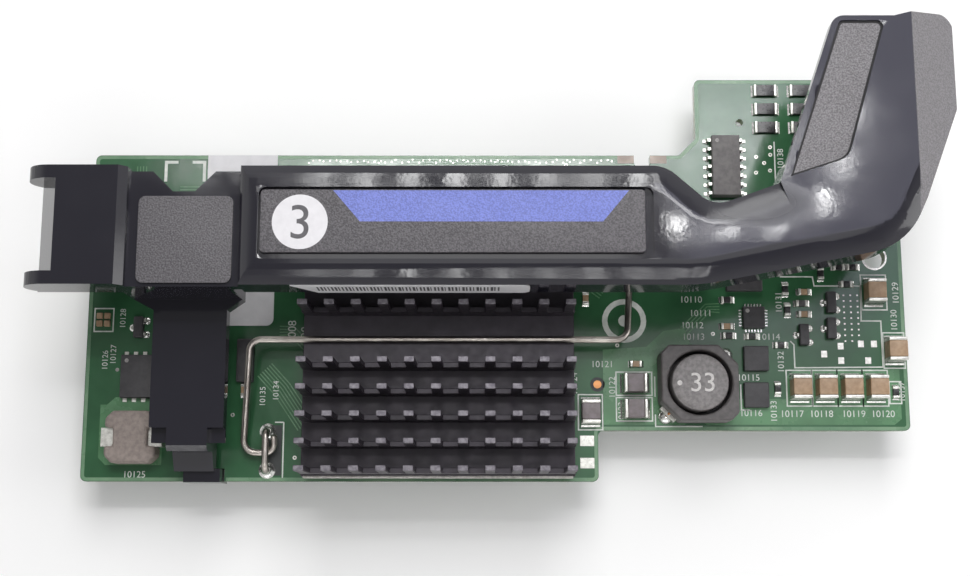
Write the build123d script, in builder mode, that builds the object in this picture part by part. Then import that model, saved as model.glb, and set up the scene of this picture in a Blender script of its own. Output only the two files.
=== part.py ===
"""Mezzanine network card: board, pin heat sink with spring clip, and moulded carrier handle.

The origin is the centre of the mating face of the connector under the board.
X runs along the card, Y from its front edge to its rear, Z up.
"""
import os

from build123d import *

os.makedirs("parts", exist_ok=True)

# Board, measured from its front left corner
board_length = 112.7
board_depth = 45.6
board_thickness = 1.6
board_corner = 0.8
step_left = 70.2
step_depth = 6.9
tab_left = 84.5
tab_reach = 11.1
tab_slope = 2.4
key_notch_x = 76.9
key_notch_width = 2.25
key_notch_depth = 2.0
guide_hole_x = 108.9
guide_hole_y = 30.9
guide_hole_diameter = 3.0
tooling_hole_inset = 6.3
tooling_hole_diameter = 1.1

# Thin wires and small holes have this many sides, which keeps the facets few
small_round_sides = 8

# Mezzanine connector under the board
connector_x = 54.0
connector_anchor_gap = 1.25
connector_length = 52.0
connector_width = 16.0
connector_height = 7.5
connector_corner = 1.0
contact_rows = 4
contacts_per_row = 14
contact_row_pitch = 3.2
contact_pitch = 3.2
contact_width = 1.6
contact_thickness = 0.5
contact_height = 1.6
slot_width = 1.0
slot_depth = 2.0
slot_end_margin = 0.6

# Controller chip and heat sink
chip_x = 48.6
chip_size = 27.0
chip_lid_size = 24.0
chip_substrate_height = 0.9
chip_lid_height = 1.2
pad_thickness = 0.2
sink_size = 36.4
sink_base_thickness = 2.0
pin_columns = 11
pin_rows_a_side = 5
pin_pitch = 3.46
pin_width = 1.33
pin_thickness = 0.73
pin_height = 9.3
ridge_height = 2.8
channel_width = 6.7

# Spring clip and its solder anchors, measured from the middle of the heat sink
clip_wire_diameter = 0.9
clip_seat_gap = 0.05
clip_reach = 25.3
clip_splay = 1.1
clip_hook_depth = 14.9
clip_hook_width = 4.2
clip_hook_return = 2.3
clip_bend_radius = 1.6
clip_hook_radius = 1.35
clip_hook_height = 1.3
clip_hook_rise = 0.8
anchor_wire_diameter = 0.9
anchor_return_gap = 1.1
anchor_span = 5.2
anchor_edge_gap = 1.5
anchor_middle_offset = 0.3
anchor_bend_radius = 1.0
anchor_leg_below = 0.8
anchor_hole_clearance = 0.1
anchor_wire_gap = 0.08

# Carrier handle: the bar over the heat sink and the grip at its end
handle_clearance = 0.6
bar_left = 24.0
bar_front = 23.5
bar_depth = 15.3
bar_height = 6.4
bar_bevel_width = 3.2
bar_bevel_drop = 1.0
bar_end_bevel = 2.2
cut_margin = 1.0
bar_wall = 2.0
bar_roof = 2.6
bar_cavity_left = 27.0
bar_cavity_right = 75.0
bar_bend_x = 82.0
grip_front_x = 107.6
grip_front_y = 28.5
grip_outer_x = 117.1
grip_outer_y = 48.6
grip_rear = 60.9
grip_step_x = 107.2
grip_step_y = 58.4
grip_inner_x = 99.5
grip_root_x = 91.9
grip_root_y = 36.5
waist_x = 83.6
waist_y = 33.5
shoulder_x = 77.6
bend_radius = 25.0
grip_front_radius = 9.0
grip_outer_radius = 6.0
grip_rear_radius = 2.2
grip_inner_radius = 1.8
waist_radius = 3.5
shoulder_radius = 4.6
crease_x = 109.4
flank_drop_per_mm = 0.87
grip_relief_start = 3.0
grip_relief_width = 4.0
grip_rim_height = 1.8
grip_pad_rim = 0.65
grip_pad_depth = 0.35
grip_pad_front_x = 100.6
grip_pad_front_y = 39.6
grip_pad_rear_x = 106.0
grip_pad_radius = 2.5
grip_pad_rear_radius = 0.8

# Label pocket in the bar and the label plate in it
pocket_x = 51.2
pocket_y = 31.2
pocket_length = 49.4
pocket_width = 9.2
pocket_depth = 0.9
pocket_corner = 1.0
label_x_offset = -0.4
label_y_offset = 0.3
label_end_gap = 1.2
label_side_gap = 1.1
label_thickness = 0.6
strip_left = 30.5
strip_length = 30.0
strip_height = 5.0
strip_thickness = 0.12
strip_slant = 3.0

# Handle: plate, end block with ears, and snap leg
plate_drop = 2.4
plate_thickness = 2.0
plate_notch_left = 12.6
plate_notch_right = 20.6
plate_notch_depth = 2.6
plate_rear_inset = 0.4
thumb_pad_size = 12.0
thumb_pad_x = 17.0
thumb_pad_height = 0.4
thumb_pad_corner = 0.9
block_right = 9.6
block_left = 0.8
block_drop = 0.5
block_height = 6.0
block_wall = 1.8
block_end_slope = 3.4
block_edge_bevel = 1.0
ear_length = 4.1
ear_thickness = 1.7
leg_level = 8.7
leg_thickness = 2.2
leg_wall_left = 8.4
leg_wall_right = 22.8
leg_wall_thickness = 1.8
leg_left = 11.1
leg_right = 20.8
leg_shelf = 1.4
leg_front = 6.6
shoulder_length = 1.9
shoulder_drop = 1.6
tongue_left = 13.4
tongue_right = 18.7
tongue_front = 3.6
tongue_thickness = 1.4
tab_front = 1.2
tab_height = 3.2
foot_gap = 1.7
hook_left = 14.5
hook_right = 19.4
hook_front = -0.2
hook_thickness = 1.8
hook_clearance = 0.15
hook_barb = 1.1
hook_barb_height = 1.1

# Handle bosses and their screws
boss_left_x = 5.5
boss_left_y = 31.0
boss_right_x = 83.2
boss_right_y = 29.0
boss_diameter = 5.0
screw_diameter = 2.2
screw_hole_clearance = 0.2
board_hole_clearance = 0.5
screw_reach = 6.0
screw_head_diameter = 4.4
screw_head_height = 1.5
screw_recess_width = 2.4
screw_recess_slot = 0.55
screw_recess_depth = 0.8

# Small parts
lead_thickness = 0.2
logic_length = 8.65
logic_width = 3.9
logic_height = 1.5
logic_standoff = 0.15
logic_pitch = 1.27
logic_leads_a_side = 7
logic_lead_width = 0.42
logic_lead_reach = 1.05
logic_lead_knee = 0.47
sot_length = 2.9
sot_width = 1.3
sot_height = 1.0
sot_standoff = 0.1
sot_lead_pitch = 1.9
sot_lead_width = 0.42
sot_lead_reach = 0.55
sot_lead_knee = 0.25
switch_length = 5.9
switch_width = 4.9
switch_height = 1.05
switch_leads_a_side = 4
switch_lead_pitch = 1.27
switch_lead_width = 0.55
switch_lead_reach = 0.5
power_body = 3.4
power_height = 1.0
driver_size = 3.0
driver_height = 0.9
monitor_length = 5.0
monitor_width = 4.0
regulator_width = 2.3
regulator_length = 5.9
regulator_height = 1.0
cap_length = 3.2
cap_width = 2.5
cap_height = 2.5
cap_end = 0.5
cap_end_proud = 0.04
cap_pitch = 3.47
cap_count = 4
grey_cap_height = 2.0
chip_length = 1.6
chip_width = 0.8
chip_height = 0.5
chip_end = 0.35
large_chip_length = 3.2
large_chip_width = 1.6
large_chip_height = 0.6
large_chip_pitch = 2.7
large_chip_columns = 2
large_chip_rows = 3
large_chip_column_pitch = 5.1
array_pitch = 1.05
array_rows = 2
array_columns = 2
coil_length = 10.4
coil_width = 10.2
coil_height = 4.5
coil_cut = 2.6
coil_corner = 1.1
coil_well_diameter = 8.7
coil_floor = 0.8
drum_diameter = 7.7
drum_edge = 0.4
drum_proud = 0.3
coil_terminal_thickness = 0.5
coil_terminal_width = 2.6
coil_terminal_height = 1.6
choke_length = 6.8
choke_width = 7.0
choke_height = 3.4
choke_corner = 1.0
choke_terminal_width = 2.5
choke_terminal_depth = 1.1
choke_terminal_reach = 0.7
choke_terminal_height = 2.4
paper_thickness = 0.1
paper_left = 15.8
paper_front = 21.3
paper_width = 9.8
paper_corner = 1.0

# Places of parts on the right: inwards from the right edge, back from the edge beyond the step
tan_row_spot = (4.5, 5.8)
tan_edge_spots = [(4.2, 19.1), (1.7, 11.0)]
resistor_spots = [
    (24.5, 18.0, 0),
    (24.4, 13.0, 0),
    (21.2, 12.9, 0),
    (17.3, 11.7, 0),
    (17.9, 5.7, 90),
    (16.2, 16.6, 90),
    (16.4, 19.5, 90),
    (8.9, 22.6, 0),
    (7.0, 22.6, 0),
    (11.4, 21.7, 90),
    (7.9, 20.2, 0),
    (1.8, 5.2, 90),
]
capacitor_spots = [(13.8, 19.1, 0), (13.9, 16.0, 0), (24.6, 14.3, 0)]
bead_spot = (14.2, 17.5, 0)
sot_spots = [(10.2, 17.6), (10.3, 14.0), (14.1, 13.1)]
power_spots = [(20.8, 9.8), (20.9, 4.8)]
driver_spot = (20.9, 15.5)
monitor_spot = (22.1, 21.2)
coil_spot = (29.1, 6.1)

# Places of parts beside the step, from its inner corner
grey_spots = [(5.1, 6.4, 0), (5.1, 2.9, 0), (-1.0, 2.5, 90)]
step_capacitor_spots = [(5.3, 9.1, 0), (-1.5, 18.2, 90)]

# Places of parts on the left, from the front left corner
choke_spot = (7.3, 5.8)
switch_spot = (7.5, 14.2)
regulator_spot = (22.0, 16.4)
left_sot_spot = (7.2, 21.0)
array_spot = (2.2, 22.1)
left_capacitor_spot = (21.9, 12.4, 90)

# Places of parts on the tab: inwards from its left edge, forwards from its rear edge
logic_spot = (4.0, 12.9)
large_chip_spot = (10.0, 1.7)

# Places and heights above the board, worked out from the sizes above
tab_depth = board_depth + tab_reach
board_top = connector_height + board_thickness
clip_return_x = clip_reach + clip_splay - clip_hook_width
anchor_offset = clip_return_x + anchor_return_gap
anchor_middle = clip_hook_depth - anchor_middle_offset
chip_y = anchor_edge_gap + anchor_span / 2 + anchor_middle
rear_anchor_front = chip_y + anchor_middle - (anchor_span + anchor_wire_diameter) / 2
connector_y = rear_anchor_front - connector_anchor_gap - connector_width / 2
chip_top = chip_substrate_height + chip_lid_height
sink_bottom = chip_top + pad_thickness
sink_floor = sink_bottom + sink_base_thickness
sink_top = sink_floor + pin_height
bar_bottom = sink_top + handle_clearance
bar_top = bar_bottom + bar_height
bar_rear = bar_front + bar_depth
plate_top = bar_top - plate_drop
block_top = bar_top - block_drop
block_bottom = block_top - block_height


def front_left(x, y, z=0.0):
    """A place measured from the front left corner of the board's upper face."""
    return (x - connector_x, y - connector_y, z + board_top)


def front_right(x, y, z=0.0):
    """A place measured inwards from the right edge and back from the edge beyond the step."""
    return front_left(board_length - x, step_depth + y, z)


def step_corner(x, y, z=0.0):
    """A place measured from the inner corner of the step."""
    return front_left(step_left + x, step_depth + y, z)


def tab_corner(x, y, z=0.0):
    """A place measured from the rear left corner of the tab, y towards the front."""
    return front_left(tab_left + x, tab_depth - y, z)


def level(z):
    """The plane at a height above the board, in board coordinates."""
    return Plane(origin=front_left(0, 0, z))


def upright(x, y, z=0.0):
    """A plane across the card that faces the front, its own Y pointing up."""
    return Plane(origin=front_left(x, y, z), x_dir=(1, 0, 0), z_dir=(0, -1, 0))


def side_on(x):
    """A plane along the card that faces the right, its X to the rear and its Y up."""
    return Plane(origin=front_left(x, 0, 0), x_dir=(0, 1, 0), z_dir=(1, 0, 0))


def save(piece, name):
    """Label a finished piece and write it."""
    piece.part.label = name
    export_step(piece.part, f"parts/{name}.step")


def turned(place, angle):
    """A location at a place, turned about Z."""
    return Location(place, (0, 0, angle))


# Circuit board
anchor_places = []
for side in (-1, 1):
    for end in (-0.5, 0.5):
        anchor_places.append((
            chip_x + side * anchor_offset,
            chip_y + side * anchor_middle + end * anchor_span,
        ))
boss_places = [(boss_left_x, boss_left_y), (boss_right_x, boss_right_y)]

with BuildPart() as circuit_board:
    with BuildSketch(level(-board_thickness)) as outline:
        with BuildLine():
            Polyline(
                (0, 0),
                (step_left, 0),
                (step_left, step_depth),
                (board_length, step_depth),
                (board_length, tab_depth),
                (tab_left, tab_depth),
                (tab_left, board_depth + tab_slope),
                (tab_left - tab_slope, board_depth),
                (0, board_depth),
                close=True,
            )
        make_face()
        fillet(outline.vertices(), radius=board_corner)
        with Locations((key_notch_x, board_depth)):
            SlotOverall(2 * key_notch_depth, key_notch_width, rotation=90, mode=Mode.SUBTRACT)
        with Locations(((hook_left + hook_right) / 2, 0)):
            Rectangle(
                hook_right - hook_left + 2 * hook_clearance,
                2 * (hook_front + hook_thickness + hook_clearance),
                mode=Mode.SUBTRACT,
            )
        with Locations((guide_hole_x, guide_hole_y)):
            Circle(guide_hole_diameter / 2, mode=Mode.SUBTRACT)
        with Locations((tab_left + tooling_hole_inset, tab_depth - tooling_hole_inset)):
            RegularPolygon(tooling_hole_diameter / 2, small_round_sides, mode=Mode.SUBTRACT)
        with Locations(*boss_places):
            RegularPolygon(
                (screw_diameter + board_hole_clearance) / 2, small_round_sides, mode=Mode.SUBTRACT
            )
        with Locations(*anchor_places):
            RegularPolygon(
                anchor_wire_diameter / 2 + anchor_hole_clearance, small_round_sides, mode=Mode.SUBTRACT
            )
    extrude(amount=board_thickness)
save(circuit_board, "circuit_board")

# Connector housing with its contact slots open to the mating face
with BuildPart() as connector_housing:
    with BuildSketch(Plane.XY):
        RectangleRounded(connector_length, connector_width, connector_corner)
    extrude(amount=connector_height)
    with BuildSketch(Plane.XY):
        with GridLocations(0, contact_row_pitch, 1, contact_rows):
            Rectangle(contacts_per_row * contact_pitch + 2 * slot_end_margin, slot_width)
    extrude(amount=slot_depth, mode=Mode.SUBTRACT)
save(connector_housing, "connector_housing")

with BuildPart() as connector_contacts:
    with BuildSketch(Plane.XY.offset(slot_depth)):
        with GridLocations(contact_pitch, contact_row_pitch, contacts_per_row, contact_rows):
            Rectangle(contact_width, contact_thickness)
    extrude(amount=-contact_height)
save(connector_contacts, "connector_contacts")

# Controller chip, thermal pad and heat sink
with BuildPart() as controller_chip:
    with BuildSketch(level(0)):
        with Locations((chip_x, chip_y)):
            Rectangle(chip_size, chip_size)
    extrude(amount=chip_substrate_height)
    with BuildSketch(level(chip_substrate_height)):
        with Locations((chip_x, chip_y)):
            Rectangle(chip_lid_size, chip_lid_size)
    extrude(amount=chip_lid_height)
save(controller_chip, "controller_chip")

with BuildPart() as thermal_pad:
    with BuildSketch(level(chip_top)):
        with Locations((chip_x, chip_y)):
            Rectangle(chip_lid_size, chip_lid_size)
    extrude(amount=pad_thickness)
save(thermal_pad, "thermal_pad")

fin_rows = []
for side in (-1, 1):
    for row in range(pin_rows_a_side):
        fin_rows.append(side * (channel_width / 2 + pin_thickness / 2 + row * pin_pitch))

with BuildPart() as heat_sink:
    with BuildSketch(level(sink_bottom)):
        with Locations((chip_x, chip_y)):
            Rectangle(sink_size, sink_size)
    extrude(amount=sink_base_thickness)
    for row_y in fin_rows:
        with BuildSketch(upright(chip_x, chip_y + row_y + pin_thickness / 2, sink_floor)):
            with Locations((0, ridge_height / 2)):
                Rectangle(sink_size, ridge_height)
            with Locations((0, pin_height / 2)):
                with GridLocations(pin_pitch, 0, pin_columns, 1):
                    Rectangle(pin_width, pin_height)
        extrude(amount=pin_thickness)
save(heat_sink, "heat_sink")

# Spring clip: one wire across the heat sink, hooked under an anchor at each end
clip_height = sink_floor + clip_wire_diameter / 2 + clip_seat_gap
half_route = [
    (clip_reach, 0, clip_height),
    (clip_reach + clip_splay, clip_hook_depth, clip_hook_height),
    (clip_return_x, clip_hook_depth, clip_hook_height),
    (clip_return_x, clip_hook_depth - clip_hook_return, clip_hook_height + clip_hook_rise),
]
clip_route = []
for x, y, z in reversed(half_route):
    clip_route.append(front_left(chip_x - x, chip_y - y, z))
for x, y, z in half_route:
    clip_route.append(front_left(chip_x + x, chip_y + y, z))
clip_radii = [clip_hook_radius, clip_bend_radius, clip_bend_radius]

with BuildPart() as spring_clip:
    with BuildLine() as clip_path:
        FilletPolyline(*clip_route, radius=clip_radii + clip_radii[::-1])
    with BuildSketch(Plane(origin=clip_path.line @ 0, z_dir=clip_path.line % 0)):
        RegularPolygon(clip_wire_diameter / 2, small_round_sides)
    sweep()
save(spring_clip, "spring_clip")

anchor_top = (clip_hook_height + clip_wire_diameter / 2 + anchor_wire_gap
              + anchor_wire_diameter / 2)
anchor_bottom = -board_thickness - anchor_leg_below
with BuildPart() as clip_anchors:
    for near, far in (anchor_places[0:2], anchor_places[2:4]):
        with BuildLine() as staple:
            FilletPolyline(
                front_left(*near, anchor_bottom),
                front_left(*near, anchor_top),
                front_left(*far, anchor_top),
                front_left(*far, anchor_bottom),
                radius=anchor_bend_radius,
            )
        with BuildSketch(Plane(origin=staple.line @ 0, z_dir=staple.line % 0)):
            RegularPolygon(anchor_wire_diameter / 2, small_round_sides)
        sweep(path=staple.line)
save(clip_anchors, "clip_anchors")

# Carrier handle, one moulding
body_outline = [
    (bar_left, bar_front),
    (bar_bend_x, bar_front),
    (grip_front_x, grip_front_y),
    (grip_outer_x, grip_outer_y),
    (grip_outer_x, grip_rear),
    (grip_step_x, grip_step_y),
    (grip_inner_x, grip_step_y),
    (grip_root_x, grip_root_y),
    (waist_x, waist_y),
    (shoulder_x, bar_rear),
    (bar_left, bar_rear),
]
corner_radii = {
    1: bend_radius,
    2: grip_front_radius,
    3: grip_outer_radius,
    4: grip_rear_radius,
    6: grip_inner_radius,
    8: waist_radius,
    9: shoulder_radius,
}


def corner_at(sketch, point):
    """The corner of a sketch that lies nearest to a point in board coordinates."""
    return sketch.vertices().sort_by_distance(Vector(*point))[0]


# The bevels round the bar are arcs, level where they leave the top
bevel_radius = (bar_bevel_width ** 2 + bar_bevel_drop ** 2) / (2 * bar_bevel_drop)
end_bevel_radius = (bar_end_bevel ** 2 + bar_bevel_drop ** 2) / (2 * bar_bevel_drop)
front_route = [(bar_left - cut_margin, bar_front)] + body_outline[1:4]
rear_route = [(bar_left - cut_margin, bar_rear)] + body_outline[9:6:-1]

with BuildPart() as carrier_handle:
    # Bar and grip, bevelled along the front, the rear and the left end, with the sloped flank
    with BuildSketch(level(bar_bottom)) as body:
        with BuildLine():
            Polyline(*body_outline, close=True)
        make_face()
        for index, radius in corner_radii.items():
            fillet(corner_at(body, body_outline[index]), radius=radius)
    extrude(amount=bar_height)
    for route, radii, inward in (
        (front_route, [bend_radius, grip_front_radius], 1),
        (rear_route, [shoulder_radius, waist_radius], -1),
    ):
        with BuildLine(level(bar_top)) as edge_path:
            FilletPolyline(*route, radius=radii)
        with BuildSketch(Plane(edge_path.line @ 0, x_dir=(0, inward, 0), z_dir=(1, 0, 0))):
            with BuildLine():
                RadiusArc((bar_bevel_width, 0), (0, -inward * bar_bevel_drop), -inward * bevel_radius)
                Polyline(
                    (0, -inward * bar_bevel_drop),
                    (-cut_margin, -inward * bar_bevel_drop),
                    (-cut_margin, inward * cut_margin),
                    (bar_bevel_width, inward * cut_margin),
                    (bar_bevel_width, 0),
                )
            make_face()
        sweep(path=edge_path.line, mode=Mode.SUBTRACT)
    with BuildSketch(upright(bar_left, bar_rear + cut_margin, bar_top)):
        with BuildLine():
            RadiusArc((bar_end_bevel, 0), (0, -bar_bevel_drop), -end_bevel_radius)
            Polyline(
                (0, -bar_bevel_drop),
                (-cut_margin, -bar_bevel_drop),
                (-cut_margin, cut_margin),
                (bar_end_bevel, cut_margin),
                (bar_end_bevel, 0),
            )
        make_face()
    extrude(amount=bar_depth + 2 * cut_margin, mode=Mode.SUBTRACT)
    flank_run = grip_outer_x - crease_x + cut_margin
    with BuildSketch(upright(crease_x, grip_rear + cut_margin, bar_top)):
        with BuildLine():
            Polyline((0, 0), (flank_run, 0), (flank_run, -flank_run * flank_drop_per_mm), close=True)
        make_face()
    extrude(amount=grip_rear, mode=Mode.SUBTRACT)
    # The inner edge of the grip is relieved below for the fingers, down to a thin rim
    inner_edge = Vector(grip_inner_x - grip_root_x, grip_step_y - grip_root_y)
    inner_way = inner_edge.normalized()
    relief_origin = Vector(*front_left(grip_root_x, grip_root_y, bar_bottom)) + inner_way * grip_relief_start
    relief_height = bar_height - grip_rim_height
    with BuildSketch(Plane(relief_origin, x_dir=(-inner_way.Y, inner_way.X, 0), z_dir=inner_way)):
        with BuildLine():
            Polyline(
                (-grip_relief_width, 0),
                (0, relief_height),
                (cut_margin, relief_height),
                (cut_margin, -cut_margin),
                (-grip_relief_width, -cut_margin),
                close=True,
            )
        make_face()
    extrude(amount=inner_edge.length, mode=Mode.SUBTRACT)
    with BuildSketch(level(bar_top)) as grip_pad:
        with BuildLine():
            Polyline(
                (grip_root_x + 2 * grip_pad_rim, grip_root_y + grip_pad_rim),
                (grip_pad_front_x, grip_pad_front_y),
                (grip_pad_rear_x, grip_step_y - grip_pad_rim),
                (grip_inner_x + grip_pad_rim, grip_step_y - grip_pad_rim),
                close=True,
            )
        make_face()
        fillet(corner_at(grip_pad, (grip_pad_front_x, grip_pad_front_y)), radius=grip_pad_radius)
        fillet(grip_pad.vertices().group_by(Axis.Y)[-1], radius=grip_pad_rear_radius)
    extrude(amount=-grip_pad_depth, mode=Mode.SUBTRACT)

    # Plate with its rear notch, and the raised thumb pad
    with BuildSketch(level(plate_top)) as plate:
        with BuildLine():
            Polyline(
                (block_right - block_edge_bevel, bar_front),
                (bar_left + block_edge_bevel, bar_front),
                (bar_left + block_edge_bevel, bar_rear - plate_rear_inset),
                (plate_notch_right, bar_rear - plate_rear_inset),
                (plate_notch_right - plate_notch_depth, bar_rear - plate_rear_inset - plate_notch_depth),
                (plate_notch_left + plate_notch_depth, bar_rear - plate_rear_inset - plate_notch_depth),
                (plate_notch_left, bar_rear - plate_rear_inset),
                (block_right - block_edge_bevel, bar_rear - plate_rear_inset),
                close=True,
            )
        make_face()
    extrude(amount=-plate_thickness)
    with BuildSketch(level(plate_top)):
        with Locations((thumb_pad_x, bar_front + thumb_pad_size / 2)):
            RectangleRounded(thumb_pad_size, thumb_pad_size - 2 * thumb_pad_height, thumb_pad_corner)
    extrude(amount=thumb_pad_height)

    # End block with a sloped end wall, open below, between two ears
    with BuildSketch(upright(0, bar_rear, 0)) as block_side:
        with BuildLine():
            Polyline(
                (block_left, block_top),
                (block_right - block_edge_bevel, block_top),
                (block_right, block_top - block_edge_bevel),
                (block_right, block_bottom),
                (block_left - block_end_slope, block_bottom),
                close=True,
            )
        make_face()
    extrude(amount=bar_depth)
    with BuildSketch(upright(0, bar_rear - block_wall, 0)):
        with BuildLine():
            Polyline(
                (block_left + block_wall / 2, block_top - block_wall),
                (block_right - block_wall, block_top - block_wall),
                (block_right - block_wall, block_bottom),
                (block_left - block_end_slope + block_wall, block_bottom),
                close=True,
            )
        make_face()
    extrude(amount=bar_depth - 2 * block_wall, mode=Mode.SUBTRACT)
    ear_middle = (block_top + block_bottom) / 2
    for ear_y in (bar_rear, bar_front + ear_thickness):
        with BuildSketch(upright(block_left, ear_y, ear_middle)):
            with Locations((0, 0)):
                SlotOverall(2 * ear_length, block_height)
        extrude(amount=ear_thickness)

    # Front wall and snap leg with its shoulders, tongue and finger tab
    with BuildSketch(upright(0, bar_front + leg_wall_thickness, 0)):
        with BuildLine():
            Polyline(
                (leg_wall_left, leg_level - leg_thickness),
                (leg_wall_right, leg_level - leg_thickness),
                (leg_wall_right, plate_top),
                (leg_wall_left, plate_top),
                close=True,
            )
        make_face()
    extrude(amount=leg_wall_thickness)
    with BuildSketch(level(leg_level)):
        with BuildLine():
            Polyline(
                (leg_wall_left, bar_front),
                (leg_wall_right, bar_front),
                (leg_right, bar_front - leg_shelf),
                (leg_right, leg_front),
                (leg_left, leg_front),
                (leg_left, bar_front - leg_shelf),
                close=True,
            )
        make_face()
    extrude(amount=-leg_thickness)
    for left, right in ((leg_left, tongue_left), (tongue_right, leg_right)):
        with BuildSketch(level(leg_level - shoulder_drop)):
            with Locations(((left + right) / 2, leg_front - shoulder_length / 2)):
                Rectangle(right - left, shoulder_length)
        extrude(amount=shoulder_drop - leg_thickness)
    with BuildSketch(side_on(tongue_left)):
        with BuildLine():
            Polyline(
                (leg_front, leg_level),
                (tongue_front + tongue_thickness / 2, leg_level),
                (tongue_front, leg_level - tongue_thickness / 2),
                (tongue_front, tab_height + tongue_thickness),
                (tab_front, tab_height),
                (tab_front, foot_gap),
                (tongue_front + tongue_thickness, foot_gap),
                (tongue_front + tongue_thickness, leg_level - leg_thickness),
                (leg_front, leg_level - leg_thickness),
                close=True,
            )
        make_face()
    extrude(amount=tongue_right - tongue_left)
    with BuildSketch(side_on(hook_left)):
        with BuildLine():
            Polyline(
                (hook_front, tab_height - tongue_thickness / 2),
                (hook_front, -board_thickness - hook_clearance - hook_barb_height),
                (hook_front + hook_thickness, -board_thickness - hook_clearance - hook_barb_height),
                (hook_front + hook_thickness + hook_barb, -board_thickness - hook_clearance),
                (hook_front + hook_thickness, -board_thickness - hook_clearance),
                (hook_front + hook_thickness, tab_height - tongue_thickness / 2),
                close=True,
            )
        make_face()
    extrude(amount=hook_right - hook_left)

    # Label pocket, coring from below, and bosses with screw holes
    with BuildSketch(level(bar_top)):
        with Locations((pocket_x, pocket_y)):
            RectangleRounded(pocket_length, pocket_width, pocket_corner)
    extrude(amount=-pocket_depth, mode=Mode.SUBTRACT)
    with BuildSketch(level(bar_bottom)):
        with Locations(((bar_cavity_left + bar_cavity_right) / 2, bar_front + bar_depth / 2)):
            Rectangle(bar_cavity_right - bar_cavity_left, bar_depth - 2 * bar_wall)
    extrude(amount=bar_height - bar_roof, mode=Mode.SUBTRACT)
    for x, y, ceiling in (
        (boss_left_x, boss_left_y, block_top - block_wall),
        (boss_right_x, boss_right_y, bar_bottom),
    ):
        with BuildSketch(level(0)):
            with Locations((x, y)):
                Circle(boss_diameter / 2)
        extrude(amount=ceiling)
        with BuildSketch(level(0)):
            with Locations((x, y)):
                RegularPolygon((screw_diameter + screw_hole_clearance) / 2, small_round_sides)
        extrude(amount=screw_reach + screw_hole_clearance, mode=Mode.SUBTRACT)
save(carrier_handle, "carrier_handle")

# Label plate in the pocket and the paper strip on the bar's front wall
with BuildPart() as handle_label:
    with BuildSketch(level(bar_top - pocket_depth)):
        with Locations((pocket_x + label_x_offset, pocket_y + label_y_offset)):
            RectangleRounded(
                pocket_length - label_end_gap, pocket_width - label_side_gap, pocket_corner / 2
            )
    extrude(amount=label_thickness)
save(handle_label, "handle_label")

strip_middle = bar_bottom + (bar_height - bar_bevel_drop) / 2
with BuildPart() as strip_label:
    with BuildSketch(upright(strip_left, bar_front, strip_middle)) as strip:
        with BuildLine():
            Polyline(
                (0, strip_height / 2),
                (strip_slant, -strip_height / 2),
                (strip_length, -strip_height / 2),
                (strip_length, strip_height / 2),
                close=True,
            )
        make_face()
        fillet(strip.vertices().group_by(Axis.X)[-1], radius=strip_height / 4)
    extrude(amount=strip_thickness)
save(strip_label, "strip_label")

# Paper label on the board
with BuildPart() as board_label:
    with BuildSketch(level(0)) as paper:
        with Locations((paper_left + paper_width / 2, (paper_front + board_depth) / 2)):
            Rectangle(paper_width, board_depth - paper_front)
        fillet(paper.vertices().group_by(Axis.Y)[0], radius=paper_corner)
    extrude(amount=paper_thickness)
save(board_label, "board_label")

# Screws that hold the handle's bosses from below
with BuildPart() as handle_screws:
    for x, y in boss_places:
        with BuildSketch(level(-board_thickness)):
            with Locations((x, y)):
                Circle(screw_head_diameter / 2)
        extrude(amount=-screw_head_height)
        with BuildSketch(level(-board_thickness)):
            with Locations((x, y)):
                RegularPolygon(screw_diameter / 2, small_round_sides)
        extrude(amount=board_thickness + screw_reach)
        with BuildSketch(level(-board_thickness - screw_head_height)):
            with Locations((x, y)):
                Rectangle(screw_recess_width, screw_recess_slot)
                Rectangle(screw_recess_slot, screw_recess_width)
        extrude(amount=screw_recess_depth, mode=Mode.SUBTRACT)
save(handle_screws, "handle_screws")


def chip_bodies(places, length, width, height, end):
    """Bodies of two-ended chips; each place is (point, angle)."""
    with BuildPart() as bodies:
        with Locations(*[turned(point, angle) for point, angle in places]):
            Box(length - 2 * end, width, height, align=(Align.CENTER, Align.CENTER, Align.MIN))
    return bodies


def chip_ends(places, length, width, height, end, proud=cap_end_proud):
    """Metal ends of two-ended chips, slightly larger than the body they cap."""
    with BuildPart() as ends:
        for point, angle in places:
            with Locations(turned(point, angle)):
                with GridLocations(length - end, 0, 2, 1):
                    Box(
                        end,
                        width + 2 * proud,
                        height + proud,
                        align=(Align.CENTER, Align.CENTER, Align.MIN),
                    )
    return ends


# Tan ceramic capacitors: a row along the front and two by the right edge
row_x, row_y = tan_row_spot
tan_places = [(front_right(row_x + cap_pitch * i, row_y), 90) for i in range(cap_count)]
tan_places += [(front_right(x, y), 90) for x, y in tan_edge_spots]
tan_size = (cap_length, cap_width, cap_height, cap_end)
save(chip_bodies(tan_places, *tan_size), "tan_capacitors")
save(chip_ends(tan_places, *tan_size), "tan_capacitor_ends")

# Grey ceramic capacitors beside the step
grey_places = [(step_corner(x, y), angle) for x, y, angle in grey_spots]
grey_size = (cap_length, cap_width, grey_cap_height, cap_end)
save(chip_bodies(grey_places, *grey_size), "grey_capacitors")
save(chip_ends(grey_places, *grey_size), "grey_capacitor_ends")

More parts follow.
